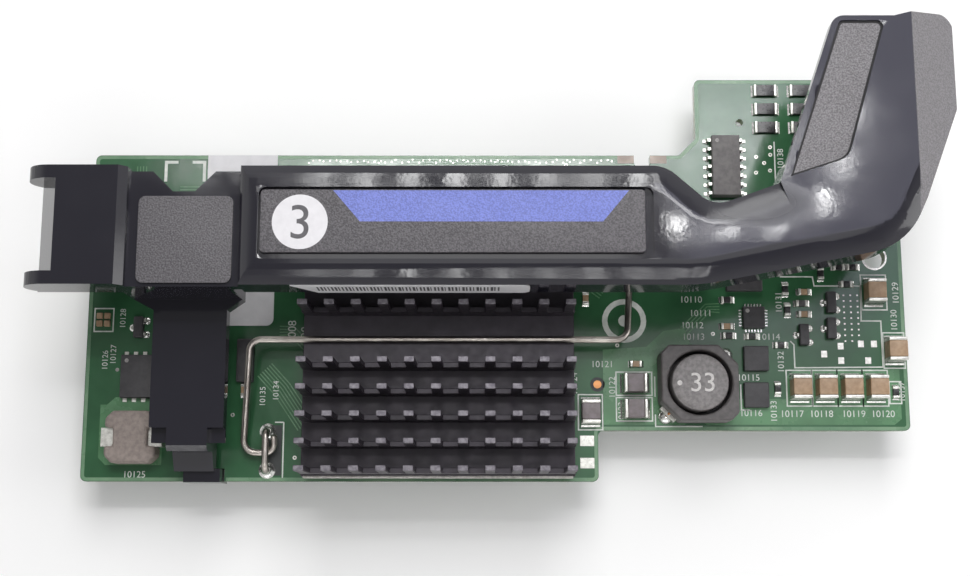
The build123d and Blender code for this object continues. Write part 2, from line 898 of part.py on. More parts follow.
# Small two-ended chips
resistor_places = [(front_right(x, y), angle) for x, y, angle in resistor_spots]
small_cap_places = [(front_right(x, y), angle) for x, y, angle in capacitor_spots]
small_cap_places += [(step_corner(x, y), angle) for x, y, angle in step_capacitor_spots]
small_cap_places += [(front_left(x, y), angle) for x, y, angle in [left_capacitor_spot]]
bead_places = [(front_right(x, y), angle) for x, y, angle in [bead_spot]]
small_size = (chip_length, chip_width, chip_height, chip_end)
save(chip_bodies(resistor_places, *small_size), "chip_resistors")
save(chip_bodies(small_cap_places, *small_size), "chip_capacitors")
save(chip_bodies(bead_places, *small_size), "ferrite_bead")
save(chip_ends(resistor_places + small_cap_places + bead_places, *small_size), "small_chip_ends")

# Large chip resistors on the tab, in columns
large_places = []
for column in range(large_chip_columns):
    for row in range(large_chip_rows):
        x = large_chip_spot[0] + column * large_chip_column_pitch
        y = large_chip_spot[1] + row * large_chip_pitch
        large_places.append((tab_corner(x, y), 0))
large_size = (large_chip_length, large_chip_width, large_chip_height, chip_end)
save(chip_bodies(large_places, *large_size), "large_resistors")
save(chip_ends(large_places, *large_size), "large_resistor_ends")

# Four-way resistor array near the left edge
with BuildPart() as resistor_array:
    with Locations(front_left(*array_spot)):
        with GridLocations(array_pitch, array_pitch, array_columns, array_rows):
            Box(chip_width, chip_width, chip_height, align=(Align.CENTER, Align.CENTER, Align.MIN))
save(resistor_array, "resistor_array")


def gull_lead(width, reach, knee, height):
    """One gull-wing lead that leaves a body at a height, bends down at its knee and stands."""
    with BuildPart() as lead:
        with BuildSketch(Plane.XZ.offset(-width / 2)):
            with BuildLine():
                Polyline(
                    (0, height),
                    (knee, height),
                    (knee + lead_thickness, lead_thickness),
                    (reach, lead_thickness),
                    (reach, 0),
                    (knee, 0),
                    (knee - lead_thickness, height - lead_thickness),
                    (0, height - lead_thickness),
                    close=True,
                )
            make_face()
        extrude(amount=width)
    return lead.part


# Logic chip on the tab with gull-wing leads on both sides
with BuildPart() as logic_chip:
    with Locations(tab_corner(*logic_spot, logic_standoff)):
        Box(logic_width, logic_length, logic_height, align=(Align.CENTER, Align.CENTER, Align.MIN))
save(logic_chip, "logic_chip")

logic_lead_height = logic_standoff + logic_height / 2
logic_lead = gull_lead(logic_lead_width, logic_lead_reach, logic_lead_knee, logic_lead_height)
with BuildPart() as logic_chip_leads:
    for side, angle in ((1, 0), (-1, 180)):
        for i in range(logic_leads_a_side):
            offset = (i - (logic_leads_a_side - 1) / 2) * logic_pitch
            x, y, z = tab_corner(*logic_spot)
            with Locations(turned((x + side * logic_width / 2, y + offset, z), angle)):
                add(logic_lead)
save(logic_chip_leads, "logic_chip_leads")

# Small three-lead transistors, one lead to the left and two to the right
sot_places = [front_right(x, y) for x, y in sot_spots] + [front_left(*left_sot_spot)]
with BuildPart() as small_transistors:
    with Locations(*[(x, y, z + sot_standoff) for x, y, z in sot_places]):
        Box(sot_width, sot_length, sot_height, align=(Align.CENTER, Align.CENTER, Align.MIN))
save(small_transistors, "small_transistors")

sot_lead_height = sot_standoff + sot_height / 2
sot_lead = gull_lead(sot_lead_width, sot_lead_reach, sot_lead_knee, sot_lead_height)
with BuildPart() as small_transistor_leads:
    for x, y, z in sot_places:
        for side, offset, angle in (
            (-1, 0, 180),
            (1, -sot_lead_pitch / 2, 0),
            (1, sot_lead_pitch / 2, 0),
        ):
            with Locations(turned((x + side * sot_width / 2, y + offset, z), angle)):
                add(sot_lead)
save(small_transistor_leads, "small_transistor_leads")

# Power switch on the left, with four leads at its front and four at its rear
with BuildPart() as power_switch:
    with Locations(front_left(*switch_spot)):
        Box(switch_width, switch_length, switch_height, align=(Align.CENTER, Align.CENTER, Align.MIN))
save(power_switch, "power_switch")

with BuildPart() as power_switch_leads:
    with Locations(front_left(*switch_spot)):
        with GridLocations(switch_lead_pitch, switch_length + switch_lead_reach, switch_leads_a_side, 2):
            Box(
                switch_lead_width,
                switch_lead_reach,
                lead_thickness,
                align=(Align.CENTER, Align.CENTER, Align.MIN),
            )
save(power_switch_leads, "power_switch_leads")

# Power transistors, driver and monitor chips by the right inductor
with BuildPart() as power_transistors:
    with Locations(*[front_right(x, y) for x, y in power_spots]):
        Box(power_body, power_body, power_height, align=(Align.CENTER, Align.CENTER, Align.MIN))
save(power_transistors, "power_transistors")

with BuildPart() as driver_chip:
    with Locations(front_right(*driver_spot)):
        Box(driver_size, driver_size, driver_height, align=(Align.CENTER, Align.CENTER, Align.MIN))
save(driver_chip, "driver_chip")

with BuildPart() as monitor_chip:
    with Locations(front_right(*monitor_spot)):
        Box(monitor_length, monitor_width, driver_height, align=(Align.CENTER, Align.CENTER, Align.MIN))
save(monitor_chip, "monitor_chip")

with BuildPart() as regulator_chip:
    with Locations(front_left(*regulator_spot)):
        Box(
            regulator_width,
            regulator_length,
            regulator_height,
            align=(Align.CENTER, Align.CENTER, Align.MIN),
        )
save(regulator_chip, "regulator_chip")

# Shielded power inductor: square shield, round drum in its well, terminals at the cut corners
coil_x, coil_y = board_length - coil_spot[0], step_depth + coil_spot[1]
with BuildPart() as inductor_shield:
    with BuildSketch(level(0)) as shield:
        with Locations((coil_x, coil_y)):
            Rectangle(coil_length, coil_width)
        corners = shield.vertices().sort_by(Axis((0, 0, 0), (1, 1, 0)))
        chamfer([corners[0], corners[-1]], length=coil_cut)
        rest = shield.vertices().sort_by(Axis((0, 0, 0), (1, -1, 0)))
        chamfer([rest[0], rest[-1]], length=coil_corner)
    extrude(amount=coil_height)
    with BuildSketch(level(coil_floor)):
        with Locations((coil_x, coil_y)):
            Circle(coil_well_diameter / 2)
    extrude(amount=coil_height, mode=Mode.SUBTRACT)
save(inductor_shield, "inductor_shield")

with BuildPart() as inductor_drum:
    with BuildSketch(level(coil_floor)):
        with Locations((coil_x, coil_y)):
            Circle(drum_diameter / 2)
    extrude(amount=coil_height - coil_floor + drum_proud)
    chamfer(inductor_drum.faces().sort_by(Axis.Z)[-1].edges(), length=drum_edge)
save(inductor_drum, "inductor_drum")

corner_reach = (coil_length + coil_width) / 4 - coil_cut / 2
with BuildPart() as inductor_terminals:
    for side, angle in ((1, 45), (-1, 225)):
        place = front_left(coil_x + side * corner_reach, coil_y + side * corner_reach)
        with Locations(turned(place, angle)):
            Box(
                coil_terminal_thickness,
                coil_terminal_width,
                coil_terminal_height,
                align=(Align.MIN, Align.CENTER, Align.MIN),
            )
save(inductor_terminals, "inductor_terminals")

# Moulded choke with a strap terminal let into each side
choke_x, choke_y = choke_spot
with BuildPart() as moulded_choke:
    with BuildSketch(level(0)) as choke:
        with Locations((choke_x, choke_y)):
            Rectangle(choke_length, choke_width)
        chamfer(choke.vertices(), length=choke_corner)
        with Locations((choke_x, choke_y)):
            with GridLocations(choke_length, 0, 2, 1):
                Rectangle(2 * choke_terminal_depth, choke_terminal_width, mode=Mode.SUBTRACT)
    extrude(amount=choke_height)
save(moulded_choke, "moulded_choke")

with BuildPart() as choke_terminals:
    strap = choke_terminal_depth + choke_terminal_reach
    with Locations(front_left(choke_x, choke_y)):
        with GridLocations(choke_length - 2 * choke_terminal_depth + strap, 0, 2, 1):
            Box(
                strap,
                choke_terminal_width,
                choke_terminal_height,
                align=(Align.CENTER, Align.CENTER, Align.MIN),
            )
save(choke_terminals, "choke_terminals")
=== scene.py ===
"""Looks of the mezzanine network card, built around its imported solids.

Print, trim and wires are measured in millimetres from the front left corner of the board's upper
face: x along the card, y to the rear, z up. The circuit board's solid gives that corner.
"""
import math

import bmesh
import bpy
import numpy as np
from bpy.props import FloatProperty, FloatVectorProperty, PointerProperty, StringProperty
from mathutils import Matrix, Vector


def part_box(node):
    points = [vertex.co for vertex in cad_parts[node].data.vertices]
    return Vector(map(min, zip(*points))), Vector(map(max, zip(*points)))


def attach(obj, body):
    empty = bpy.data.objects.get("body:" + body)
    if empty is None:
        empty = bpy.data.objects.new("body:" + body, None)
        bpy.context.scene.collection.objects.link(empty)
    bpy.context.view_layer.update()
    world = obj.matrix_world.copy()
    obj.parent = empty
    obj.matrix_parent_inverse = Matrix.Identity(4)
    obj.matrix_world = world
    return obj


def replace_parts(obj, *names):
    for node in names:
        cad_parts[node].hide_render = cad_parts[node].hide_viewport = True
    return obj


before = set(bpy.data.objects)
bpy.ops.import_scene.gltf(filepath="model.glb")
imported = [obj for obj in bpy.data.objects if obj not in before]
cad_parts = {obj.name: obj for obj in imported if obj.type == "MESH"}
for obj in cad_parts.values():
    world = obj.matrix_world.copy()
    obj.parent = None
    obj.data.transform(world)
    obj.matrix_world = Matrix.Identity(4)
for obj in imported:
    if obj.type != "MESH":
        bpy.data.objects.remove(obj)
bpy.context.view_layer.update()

bl_info = {
    "name": "Mezzanine network card",
    "version": (1, 0, 0),
    "blender": (4, 5, 0),
    "location": "3D View > Sidebar > Card",
    "description": "Dresses the card's solids with print, solder, labels and finishes",
    "category": "Object",
}

MM = 0.001
BOARD_LOW, BOARD_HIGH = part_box("circuit_board")
CORNER = np.array([BOARD_LOW.x, BOARD_LOW.y, BOARD_HIGH.z])
BODY = "root"
# Ink on a solid: how far it reaches into the face and above it
INK_SUNK, INK_PROUD = 0.01, 0.012

# Photograph's frame, and the camera that was fitted to it
IMAGE_WIDTH = 970
FOCAL_PIXELS = 1395.1
SENSOR_MM = 36.0
CAMERA_PLACE = (55.2, -7.7, 190.3)
CAMERA_TILT = 10.22
CAMERA_YAW = -0.66
CAMERA_ROLL = -0.63


def linear(hex_colour):
    """An sRGB hex colour as linear red, green and blue."""
    channels = np.array([int(hex_colour[i:i + 2], 16) for i in (0, 2, 4)]) / 255
    return tuple(np.where(channels <= 0.04045, channels / 12.92, ((channels + 0.055) / 1.055) ** 2.4))


def node_box(node):
    """Lowest and highest corner of a solid in board millimetres."""
    low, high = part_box(node)
    return (np.array(low) - CORNER) / MM, (np.array(high) - CORNER) / MM


def solid_boxes(node, triangles=12):
    """Boxes of a node's equal solids: its loose triangles in equal runs, least and greatest of each."""
    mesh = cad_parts[node].data
    places = np.empty(len(mesh.vertices) * 3)
    mesh.vertices.foreach_get("co", places)
    corners = np.empty(len(mesh.loops), int)
    mesh.loops.foreach_get("vertex_index", corners)
    runs = places.reshape(-1, 3)[corners].reshape(-1, triangles * 3, 3)
    return (runs.min(1) - CORNER) / MM, (runs.max(1) - CORNER) / MM


def unit(rows):
    """Vectors, one to a row, scaled to a length of one."""
    return rows / np.linalg.norm(rows, axis=1, keepdims=True)


# Shapes: each is (points, quads, caps) in board millimetres
def carried(rings, closed=False):
    """A closed profile carried along a path: rings[i, j] is point j of the profile at step i.

    Quads join each point to its neighbours; flat caps close both ends of an open path.
    """
    steps, count = rings.shape[:2]
    index = np.arange(steps * count).reshape(steps, count)
    here = index if closed else index[:-1]
    there = np.roll(index, -1, axis=0) if closed else index[1:]
    quads = np.stack([here, np.roll(here, -1, 1), np.roll(there, -1, 1), there], axis=-1)
    caps = [] if closed else [index[0, ::-1], index[-1]]
    return rings.reshape(-1, 3), quads.reshape(-1, 4), caps


def slab(outline, low, high):
    """A flat plate: an outline, counter-clockwise, carried straight up from low to high."""
    flat = np.asarray(outline, float)
    rings = np.stack([np.column_stack([flat, np.full(len(flat), z)]) for z in (low, high)])
    return carried(rings)


def rectangle(x, y, length, width):
    """Corners of a rectangle about its middle, counter-clockwise."""
    a, b = length / 2, width / 2
    return [(x - a, y - b), (x + a, y - b), (x + a, y + b), (x - a, y + b)]


def circle(x, y, radius, count=28):
    """Points of a circle, counter-clockwise."""
    turn = np.linspace(0, 2 * math.pi, count, endpoint=False)
    return np.column_stack([x + radius * np.cos(turn), y + radius * np.sin(turn)])


def disc(x, y, radius, low, high, count=28):
    """A round plate."""
    return slab(circle(x, y, radius, count), low, high)


def annulus(x, y, inner, outer, low, high, count=28):
    """A flat ring: a rectangle in the radial plane carried round a circle."""
    turn = np.linspace(0, 2 * math.pi, count, endpoint=False)[:, None]
    radius = np.array([inner, inner, outer, outer])
    height = np.array([low, high, high, low]) + 0 * turn
    rings = np.stack([x + radius * np.cos(turn), y + radius * np.sin(turn), height], axis=-1)
    return carried(rings, closed=True)


def ribbon(path, width, low, high, closed=False):
    """A flat strip: a rectangle carried along a line, mitred where the line turns."""
    line = np.asarray(path, float)
    way = np.roll(line, -1, 0) - line
    into = np.roll(way, 1, 0)
    if not closed:
        way[-1] = way[-2]
        into[0] = way[0]
    into = unit(into)
    along = unit(unit(way) + into)
    side = np.column_stack([-along[:, 1], along[:, 0]])
    mitre = np.maximum((side * np.column_stack([-into[:, 1], into[:, 0]])).sum(1), 0.35)
    reach = side * (width / 2 / mitre)[:, None]
    low_z, high_z = np.full((len(line), 1), low), np.full((len(line), 1), high)
    right, left = line - reach, line + reach
    corners = [(right, low_z), (left, low_z), (left, high_z), (right, high_z)]
    rings = np.stack([np.hstack(corner) for corner in corners], axis=1)
    return carried(rings, closed)


def stacked(flat, height):
    """Flat rings, each lifted to its own height."""
    return np.concatenate([flat, np.broadcast_to(height[:, None, None], flat.shape[:2] + (1,))], 2)


def block(low, high, corner=0.12, edge=0.12, steps=4):
    """A block with round corners, drawn in by a quarter circle along its upper edge."""
    low, high = np.asarray(low, float), np.asarray(high, float)
    turn = np.linspace(0, math.pi / 2, steps + 1)
    quarter = np.concatenate([turn + k * math.pi / 2 for k in range(4)])
    spokes = np.column_stack([np.cos(quarter), np.sin(quarter)])
    signs = np.repeat([(1, 1), (-1, 1), (-1, -1), (1, -1)], steps + 1, axis=0)
    middle = (low[:2] + high[:2]) / 2 + signs * ((high[:2] - low[:2]) / 2 - corner)
    rise = np.linspace(0, math.pi / 2, steps + 1)
    inset = np.concatenate([[0], edge * (1 - np.cos(rise))])
    height = np.concatenate([[low[2]], high[2] - edge + edge * np.sin(rise)])
    flat = middle + (corner - inset)[:, None, None] * spokes
    return carried(stacked(flat, height))


def lathe(x, y, profile, count=28):
    """A turned form: each (radius, height) of the profile, from below up, carried round the axis."""
    radius, height = np.asarray(profile, float).T
    turn = np.linspace(0, 2 * math.pi, count, endpoint=False)
    flat = np.stack([x + radius[:, None] * np.cos(turn), y + radius[:, None] * np.sin(turn)], axis=-1)
    return carried(stacked(flat, height))


def bent(route, radii, steps=9):
    """A line with its corners rounded: each corner becomes an arc tangent to both its runs."""
    route = np.asarray(route, float)
    parts = [route[:1]]
    for before, corner, after, radius in zip(route[:-2], route[1:-1], route[2:], radii):
        back, ahead = before - corner, after - corner
        back, ahead = back / np.linalg.norm(back), ahead / np.linalg.norm(ahead)
        half = math.acos(np.clip(back @ ahead, -1, 1)) / 2
        middle = (back + ahead) / np.linalg.norm(back + ahead)
        centre = corner + middle * radius / math.sin(half)
        start, end = corner + back * radius / math.tan(half), corner + ahead * radius / math.tan(half)
        share = np.linspace(0, 1, steps)[:, None]
        parts.append(centre + unit(start + (end - start) * share - centre) * radius)
    return np.concatenate(parts + [route[-1:]])


def rounded(path, radius):
    """A flat line with all its corners rounded by one radius."""
    line = np.column_stack([path, np.zeros(len(path))])
    return bent(line, [radius] * (len(path) - 2))[:, :2]


def round_corners(outline, radii):
    """A closed outline with each corner rounded by its own radius."""
    ring = np.column_stack([outline, np.zeros(len(outline))])
    closed = np.concatenate([ring[-1:], ring, ring[:1]])
    return bent(closed, radii)[1:-1, :2]


def tube(path, radius, reference, count=14):
    """A round wire: a circle carried along a path, kept level by a reference direction."""
    path = np.asarray(path, float)
    way = unit(np.gradient(path, axis=0))
    side = unit(np.cross(np.broadcast_to(reference, way.shape), way))
    over = np.cross(way, side)
    turn = np.linspace(0, 2 * math.pi, count, endpoint=False)[None, :, None]
    return carried(path[:, None] + radius * (np.cos(turn) * side[:, None] + np.sin(turn) * over[:, None]))


def fillet_wedge(end_low, end_high, way, reach, rise):
    """Solder beside a chip's end: a hollow quarter curve carried across the end's width."""
    across = np.array([abs(way[1]), abs(way[0])])
    middle = (end_low[:2] + end_high[:2]) / 2
    half = (end_high[:2] - end_low[:2]) / 2
    face = middle + way * (half @ np.abs(way))
    turn = np.linspace(0, math.pi / 2, 5)
    out = np.append(0, reach * (1 - np.sin(turn)))
    up = np.append(0, rise * (1 - np.cos(turn)))
    flip = 1 if way[0] * across[1] - way[1] * across[0] > 0 else -1
    sides = np.array([1, -1]) * flip * (half @ across)
    flat = face + sides[:, None, None] * across + out[None, :, None] * way
    height = np.broadcast_to(end_low[2] + up, flat.shape[:2])
    return carried(np.concatenate([flat, height[..., None]], 2))


def numeral(text, x, y, size, low, high, turn=0.0):
    """Plain figures in the built-in face as closed plates from low to high, centred on a place."""
    curve = bpy.data.curves.new("figures", "FONT")
    curve.body = text
    curve.extrude = 0.5
    holder = bpy.data.objects.new("figures", curve)
    plates = bpy.data.meshes.new_from_object(holder)
    places = np.empty(len(plates.vertices) * 3)
    plates.vertices.foreach_get("co", places)
    places, merged = np.unique(places.reshape(-1, 3).round(5), axis=0, return_inverse=True)
    faces = [merged.ravel()[np.array(face.vertices)] for face in plates.polygons]
    bpy.data.objects.remove(holder)
    bpy.data.curves.remove(curve)
    bpy.data.meshes.remove(plates)
    flat = (places - (places.min(0) + places.max(0)) / 2)[:, :2] * size
    spin = np.array([[math.cos(turn), math.sin(turn)], [-math.sin(turn), math.cos(turn)]])
    height = low + (high - low) * (places[:, 2] + 0.5)
    return np.column_stack([flat @ spin + (x, y), height]), np.empty((0, 4), int), faces


def placed(name, mesh, material, smooth):
    """An object of the card: its mesh shaded smooth up to an angle, riding on the card's body."""
    mesh.shade_smooth()
    mesh.set_sharp_from_angle(angle=math.radians(smooth))
    mesh.materials.append(material)
    thing = bpy.data.objects.new(name, mesh)
    bpy.context.collection.objects.link(thing)
    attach(thing, BODY)
    return thing


def piece(name, shapes, material, smooth=35.0):
    """One object of the card from several shapes."""
    starts = np.cumsum([0] + [len(shape[0]) for shape in shapes])
    points = np.concatenate([shape[0] for shape in shapes]) * MM + CORNER
    faces = []
    for start, shape in zip(starts, shapes):
        faces += (shape[1] + start).tolist() + [(cap + start).tolist() for cap in shape[2]]
    mesh = bpy.data.meshes.new(name)
    mesh.from_pydata(points, [], faces)
    mesh.validate()
    return placed(name, mesh, material, smooth)


def stand_in(name, node, shapes, material, smooth=35.0):
    """A piece that stands for a solid."""
    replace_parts(piece(name, shapes, material, smooth), node)


def blocks(node, edge, steps=4):
    """Round-edged blocks in the places of a node's plain ones."""
    return [block(low, high, edge, edge, steps) for low, high in zip(*solid_boxes(node))]


def dress(node, material):
    """Gives a solid its finish."""
    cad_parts[node].material_slots[0].material = material


def eased(node, name, material, width, segments=2, smooth=30.0, cuts=()):
    """A solid with its sharp edges eased: its merged copy, flat faces joined, under a Bevel.

    Cuts are (axis, step): planes every step millimetres that keep long faces' shading true.
    """
    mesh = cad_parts[node].data.copy()
    mesh.name = name
    work = bmesh.new()
    work.from_mesh(mesh)
    bmesh.ops.remove_doubles(work, verts=work.verts, dist=2e-6)
    bmesh.ops.dissolve_limit(
        work, angle_limit=math.radians(0.4), verts=work.verts, edges=work.edges, delimit={"NORMAL"}
    )
    low, high = (np.array(corner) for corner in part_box(node))
    for axis, step in cuts:
        for place in np.arange(low[axis] + step * MM, high[axis], step * MM):
            spot, way = np.zeros(3), np.zeros(3)
            spot[axis], way[axis] = place, 1.0
            every = work.verts[:] + work.edges[:] + work.faces[:]
            bmesh.ops.bisect_plane(work, geom=every, plane_co=spot, plane_no=way, dist=1e-7)
    work.to_mesh(mesh)
    work.free()
    mesh.materials.clear()
    thing = placed(name, mesh, material, smooth)
    bevel = thing.modifiers.new("Eased edges", "BEVEL")
    bevel.width = width * MM
    bevel.segments = segments
    bevel.limit_method = "ANGLE"
    bevel.angle_limit = math.radians(smooth)
    bevel.use_clamp_overlap = True
    thing.modifiers.new("Flat faces stay flat", "WEIGHTED_NORMAL").keep_sharp = True
    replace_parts(thing, node)


# Materials
def add(tree, kind, sockets=None, **settings):
    """Adds a node: settings are its properties, sockets its inputs, as values or as links."""
    made = tree.nodes.new(kind)
    for name, value in settings.items():
        setattr(made, name, value)
    for name, value in (sockets or {}).items():
        if isinstance(value, bpy.types.NodeSocket):
            tree.links.new(value, made.inputs[name])
        else:
            made.inputs[name].default_value = value
    return made


def surface(name, **shader):
    """A material with one principled shader; returns it with its tree and that shader."""
    material = bpy.data.materials.new(name)
    material.use_nodes = True
    tree = material.node_tree
    tree.nodes.clear()
    sockets = {key.replace("_", " ").title().replace("Ior", "IOR"): value for key, value in shader.items()}
    principled = add(tree, "ShaderNodeBsdfPrincipled", sockets)
    add(tree, "ShaderNodeOutputMaterial", {"Surface": principled.outputs["BSDF"]})
    return material, tree, principled


def grain(tree, size, detail=3.0):
    """Cloudy noise whose blotches are about size millimetres across."""
    place = add(tree, "ShaderNodeTexCoord")
    return add(tree, "ShaderNodeTexNoise", {
        "Vector": place.outputs["Object"], "Scale": 1 / (size * MM), "Detail": detail, "Roughness": 0.55,
    }).outputs["Fac"]


def shades(tree, factor, dark, light, low=0.35, high=0.65):
    """A ramp from a dark to a light colour over part of a factor's range."""
    ramp = add(tree, "ShaderNodeValToRGB", {"Fac": factor})
    ramp.color_ramp.elements[0].position = low
    ramp.color_ramp.elements[1].position = high
    ramp.color_ramp.elements[0].color = (*dark, 1)
    ramp.color_ramp.elements[1].color = (*light, 1)
    return ramp.outputs["Color"]


def spread(tree, factor, low, high):
    """A factor's middle range stretched to run from low to high."""
    return add(tree, "ShaderNodeMapRange", {
        "Value": factor, "From Min": 0.3, "From Max": 0.7, "To Min": low, "To Max": high,
    }).outputs["Result"]


def feed(tree, principled, colour, roughness):
    """Links a colour and a roughness to the shader."""
    tree.links.new(colour, principled.inputs["Base Color"])
    tree.links.new(roughness, principled.inputs["Roughness"])


def relief(tree, principled, factor, depth):
    """Bump of a depth in millimetres."""
    bump = add(tree, "ShaderNodeBump", {"Height": factor, "Distance": depth * MM, "Strength": 1.0})
    tree.links.new(bump.outputs["Normal"], principled.inputs["Normal"])


# Finishes: dark and light shade, size of the blotches in mm, roughness, and what differs from the usual
FINISHES = {
    # Epoxy ink without copper below: flat, pale green
    "mask over bare laminate": ("5f8566", "79997a", 4.0, 0.3),
    # Lacquered copper: a warm orange spot
    "bare copper, lacquered": ("a8744c", "c08a5c", 2.0, 0.35, {"metallic": 0.9}),
    # Tinned pads that have aged: brownish grey, no shine
    "dull tinned copper": ("8f847c", "a89c92", 2.0, 0.5, {"metallic": 0.3}),
    # Matte electroplated tin: pale, slightly warm metal with a fine crystalline grain
    "tin plate": ("b9b8b2", "d6d5cf", 0.5, 0.34, {"wave": 0.16, "relief": (0.004, 0.12), "metallic": 0.85}),
    # Screen-printed ink: flat off-white
    "white epoxy ink": ("c9cfc8", "e2e5df", 1.2, 0.55),
    # The same ink in black: dull grounds for the anchor and the copper spot
    "black epoxy ink": ("1d2121", "282c2b", 1.5, 0.5),
    # Sintered ceramic: smooth tan with a faint grain
    "tan barium titanate ceramic": ("9c7f62", "b3977a", 0.9, 0.42, {"relief": (0.006, 0.15)}),
    # The same ceramic in a mauve grey
    "grey barium titanate ceramic": ("6d6464", "80777a", 0.9, 0.42, {"relief": (0.006, 0.15)}),
    # Fired glass: near black with a soft gloss
    "black glass overcoat on alumina": ("1c1b1c", "2a292a", 0.6, 0.3),
    # Pressed and fired ferrite: dull charcoal
    "sintered ferrite, small": ("454344", "575455", 0.5, 0.5),
    # Melted tin alloy: the brightest metal on the board
    "reflowed solder": ("b4b4b0", "d9d9d6", 0.4, 0.22, {"metallic": 0.9}),
    # Filled epoxy off a matte tool: flat mid grey
    "grey epoxy mould compound": ("5f5c5c", "6e6b6a", 0.7, 0.62, {"wave": 0.12, "relief": (0.01, 0.12)}),
    # The same epoxy in black, with a little more sheen
    "black epoxy mould compound": ("2b2a2c", "363437", 0.7, 0.5, {"wave": 0.14, "relief": (0.01, 0.12)}),
    # Soft filled silicone: dusty grey, no gloss
    "grey silicone gap pad": ("6f7072", "808183", 1.0, 0.8, {"relief": (0.02, 0.4)}),
    # Burnt into the epoxy: paler than the body
    "pale laser mark": ("8d8a88", "a3a09d", 0.5, 0.6),
    # Ferrite as it leaves the kiln: dark, slightly rough
    "sintered ferrite": ("4b4848", "5d5959", 0.8, 0.55, {"wave": 0.14, "relief": (0.02, 0.18)}),
    # Ferrite ground flat: paler grey
    "sintered ferrite, lapped": ("6f6b6b", "8a8685", 0.5, 0.5, {"wave": 0.16, "relief": (0.02, 0.15)}),
    # Stamped ink: soft white figures
    "white ink on ferrite": ("c8c5c3", "dedbd8", 0.4, 0.6),
    # Enamelled winding wire: shiny orange brown
    "lacquered copper wire": ("96643c", "b8814f", 0.6, 0.3, {"metallic": 0.8}),
    # Metal powder pressed in resin: brownish grey and grainy
    "pressed iron powder": ("7b706b", "8f847d", 0.6, 0.6, {"wave": 0.14, "relief": (0.03, 0.2)}),
    # Bare saw cut: a bright line
    "sawn aluminium": ("c4c0ba", "e6e2dc", 0.6, 0.45, {"wave": 0.2, "metallic": 0.2}),
    # Drawn wire: grey steel with a soft streak of light along it
    "bright spring steel wire": ("8c8680", "aca6a0", 3.0, 0.34, {"wave": 0.06, "metallic": 1.0}),
    # Shaded bottom of a groove: almost black
    # Painted shade: a near-black strip that stands for the shadow in the groove round the grip pad
    "black plastic in the groove": ("0d0c0e", "141316", 1.0, 0.7),
    # Screen ink on film: clean white and dark grey
    "white screen ink": ("dddbde", "e4e2e5", 1.0, 0.45),
    "dark grey screen ink": ("4a484c", "565458", 0.8, 0.5),
    # Coated paper: flat white with a trace of fibre
    "white paper label": ("d9d8da", "e2e1e3", 2.0, 0.6, {"relief": (0.01, 0.25)}),
    # Heat-printed bars: not quite black
    "black thermal print": ("2f2d31", "3a383c", 0.5, 0.6),
    # Glass-filled polymer: black with a low sheen
    "black liquid crystal polymer": ("1a1a1b", "262627", 1.2, 0.48, {"wave": 0.14, "relief": (0.01, 0.2)}),
    # Thin gold on nickel: bright warm yellow
    "gold over nickel": ("c79a4b", "e0b765", 0.8, 0.24, {"metallic": 1.0}),
    # Zinc plate: cool grey metal
    "zinc plated steel": ("8f8f8d", "b5b5b2", 0.8, 0.32, {"metallic": 1.0}),
}


def finish(name):
    """A finish of the table, made on first use: its colour and its roughness drift on two noises.

    Wave is how far the roughness drifts; relief is the depth and the grain of a bump, in millimetres.
    """
    if name in bpy.data.materials:
        return bpy.data.materials[name]
    dark, light, size, roughness, *rest = FINISHES[name]
    extra = rest[0] if rest else {}
    half = extra.get("wave", 0.1) / 2
    material, tree, principled = surface(name, metallic=extra.get("metallic", 0.0))
    colour = shades(tree, grain(tree, size), linear(dark), linear(light))
    gloss = spread(tree, grain(tree, size * 0.4), roughness - half, roughness + half)
    feed(tree, principled, colour, gloss)
    if "relief" in extra:
        depth, pitch = extra["relief"]
        relief(tree, principled, grain(tree, pitch, 2.0), depth)
    return material


def solder_mask(colour):
    """Green epoxy ink over copper and glass cloth: glossy, a little cloudy, with the routed glass-epoxy
    edge showing pale on the sides."""
    material, tree, principled = surface("green solder mask", ior=1.5)
    deep = tuple(0.62 * channel for channel in colour)
    cloud = shades(tree, grain(tree, 9.0, 4.0), deep, colour, 0.3, 0.7)
    normal = add(tree, "ShaderNodeNewGeometry").outputs["Normal"]
    upright = add(tree, "ShaderNodeSeparateXYZ", {"Vector": normal}).outputs["Z"]
    side = add(tree, "ShaderNodeMath", {0: upright}, operation="ABSOLUTE").outputs["Value"]
    face = add(tree, "ShaderNodeMath", {0: side, 1: 0.5}, operation="GREATER_THAN").outputs["Value"]
    glass = (*linear("8c9a72"), 1)
    mix = add(tree, "ShaderNodeMix", {"Factor": face, "A": glass, "B": cloud}, data_type="RGBA")
    feed(tree, principled, mix.outputs["Result"], spread(tree, grain(tree, 3.0), 0.1, 0.2))
    relief(tree, principled, grain(tree, 0.6, 2.0), 0.004)
    return material


def tint(name, description, colour):
    """A colour that can be set."""
    return FloatVectorProperty(name=name, description=description, subtype="COLOR", default=colour)


def breadth(name, description, millimetres):
    """A width that can be set."""
    return FloatProperty(name=name, description=description, subtype="DISTANCE", default=millimetres * MM)


def watts(name, description, amount):
    """A lamp's power that can be set."""
    return FloatProperty(name=name, description=description, unit="POWER", default=amount)


class CardBoardLook(bpy.types.PropertyGroup):
    """Colours and line widths of the board"""

    mask: tint("Solder mask", "Green of the solder mask", linear("3a6947"))
    copper: tint("Mask over copper", "Paler green of the mask where copper lies under it", linear("5b8a62"))
    line: breadth("Print line", "Width of the printed lines", 0.18)
    track: breadth("Track", "Width of the copper tracks", 0.16)


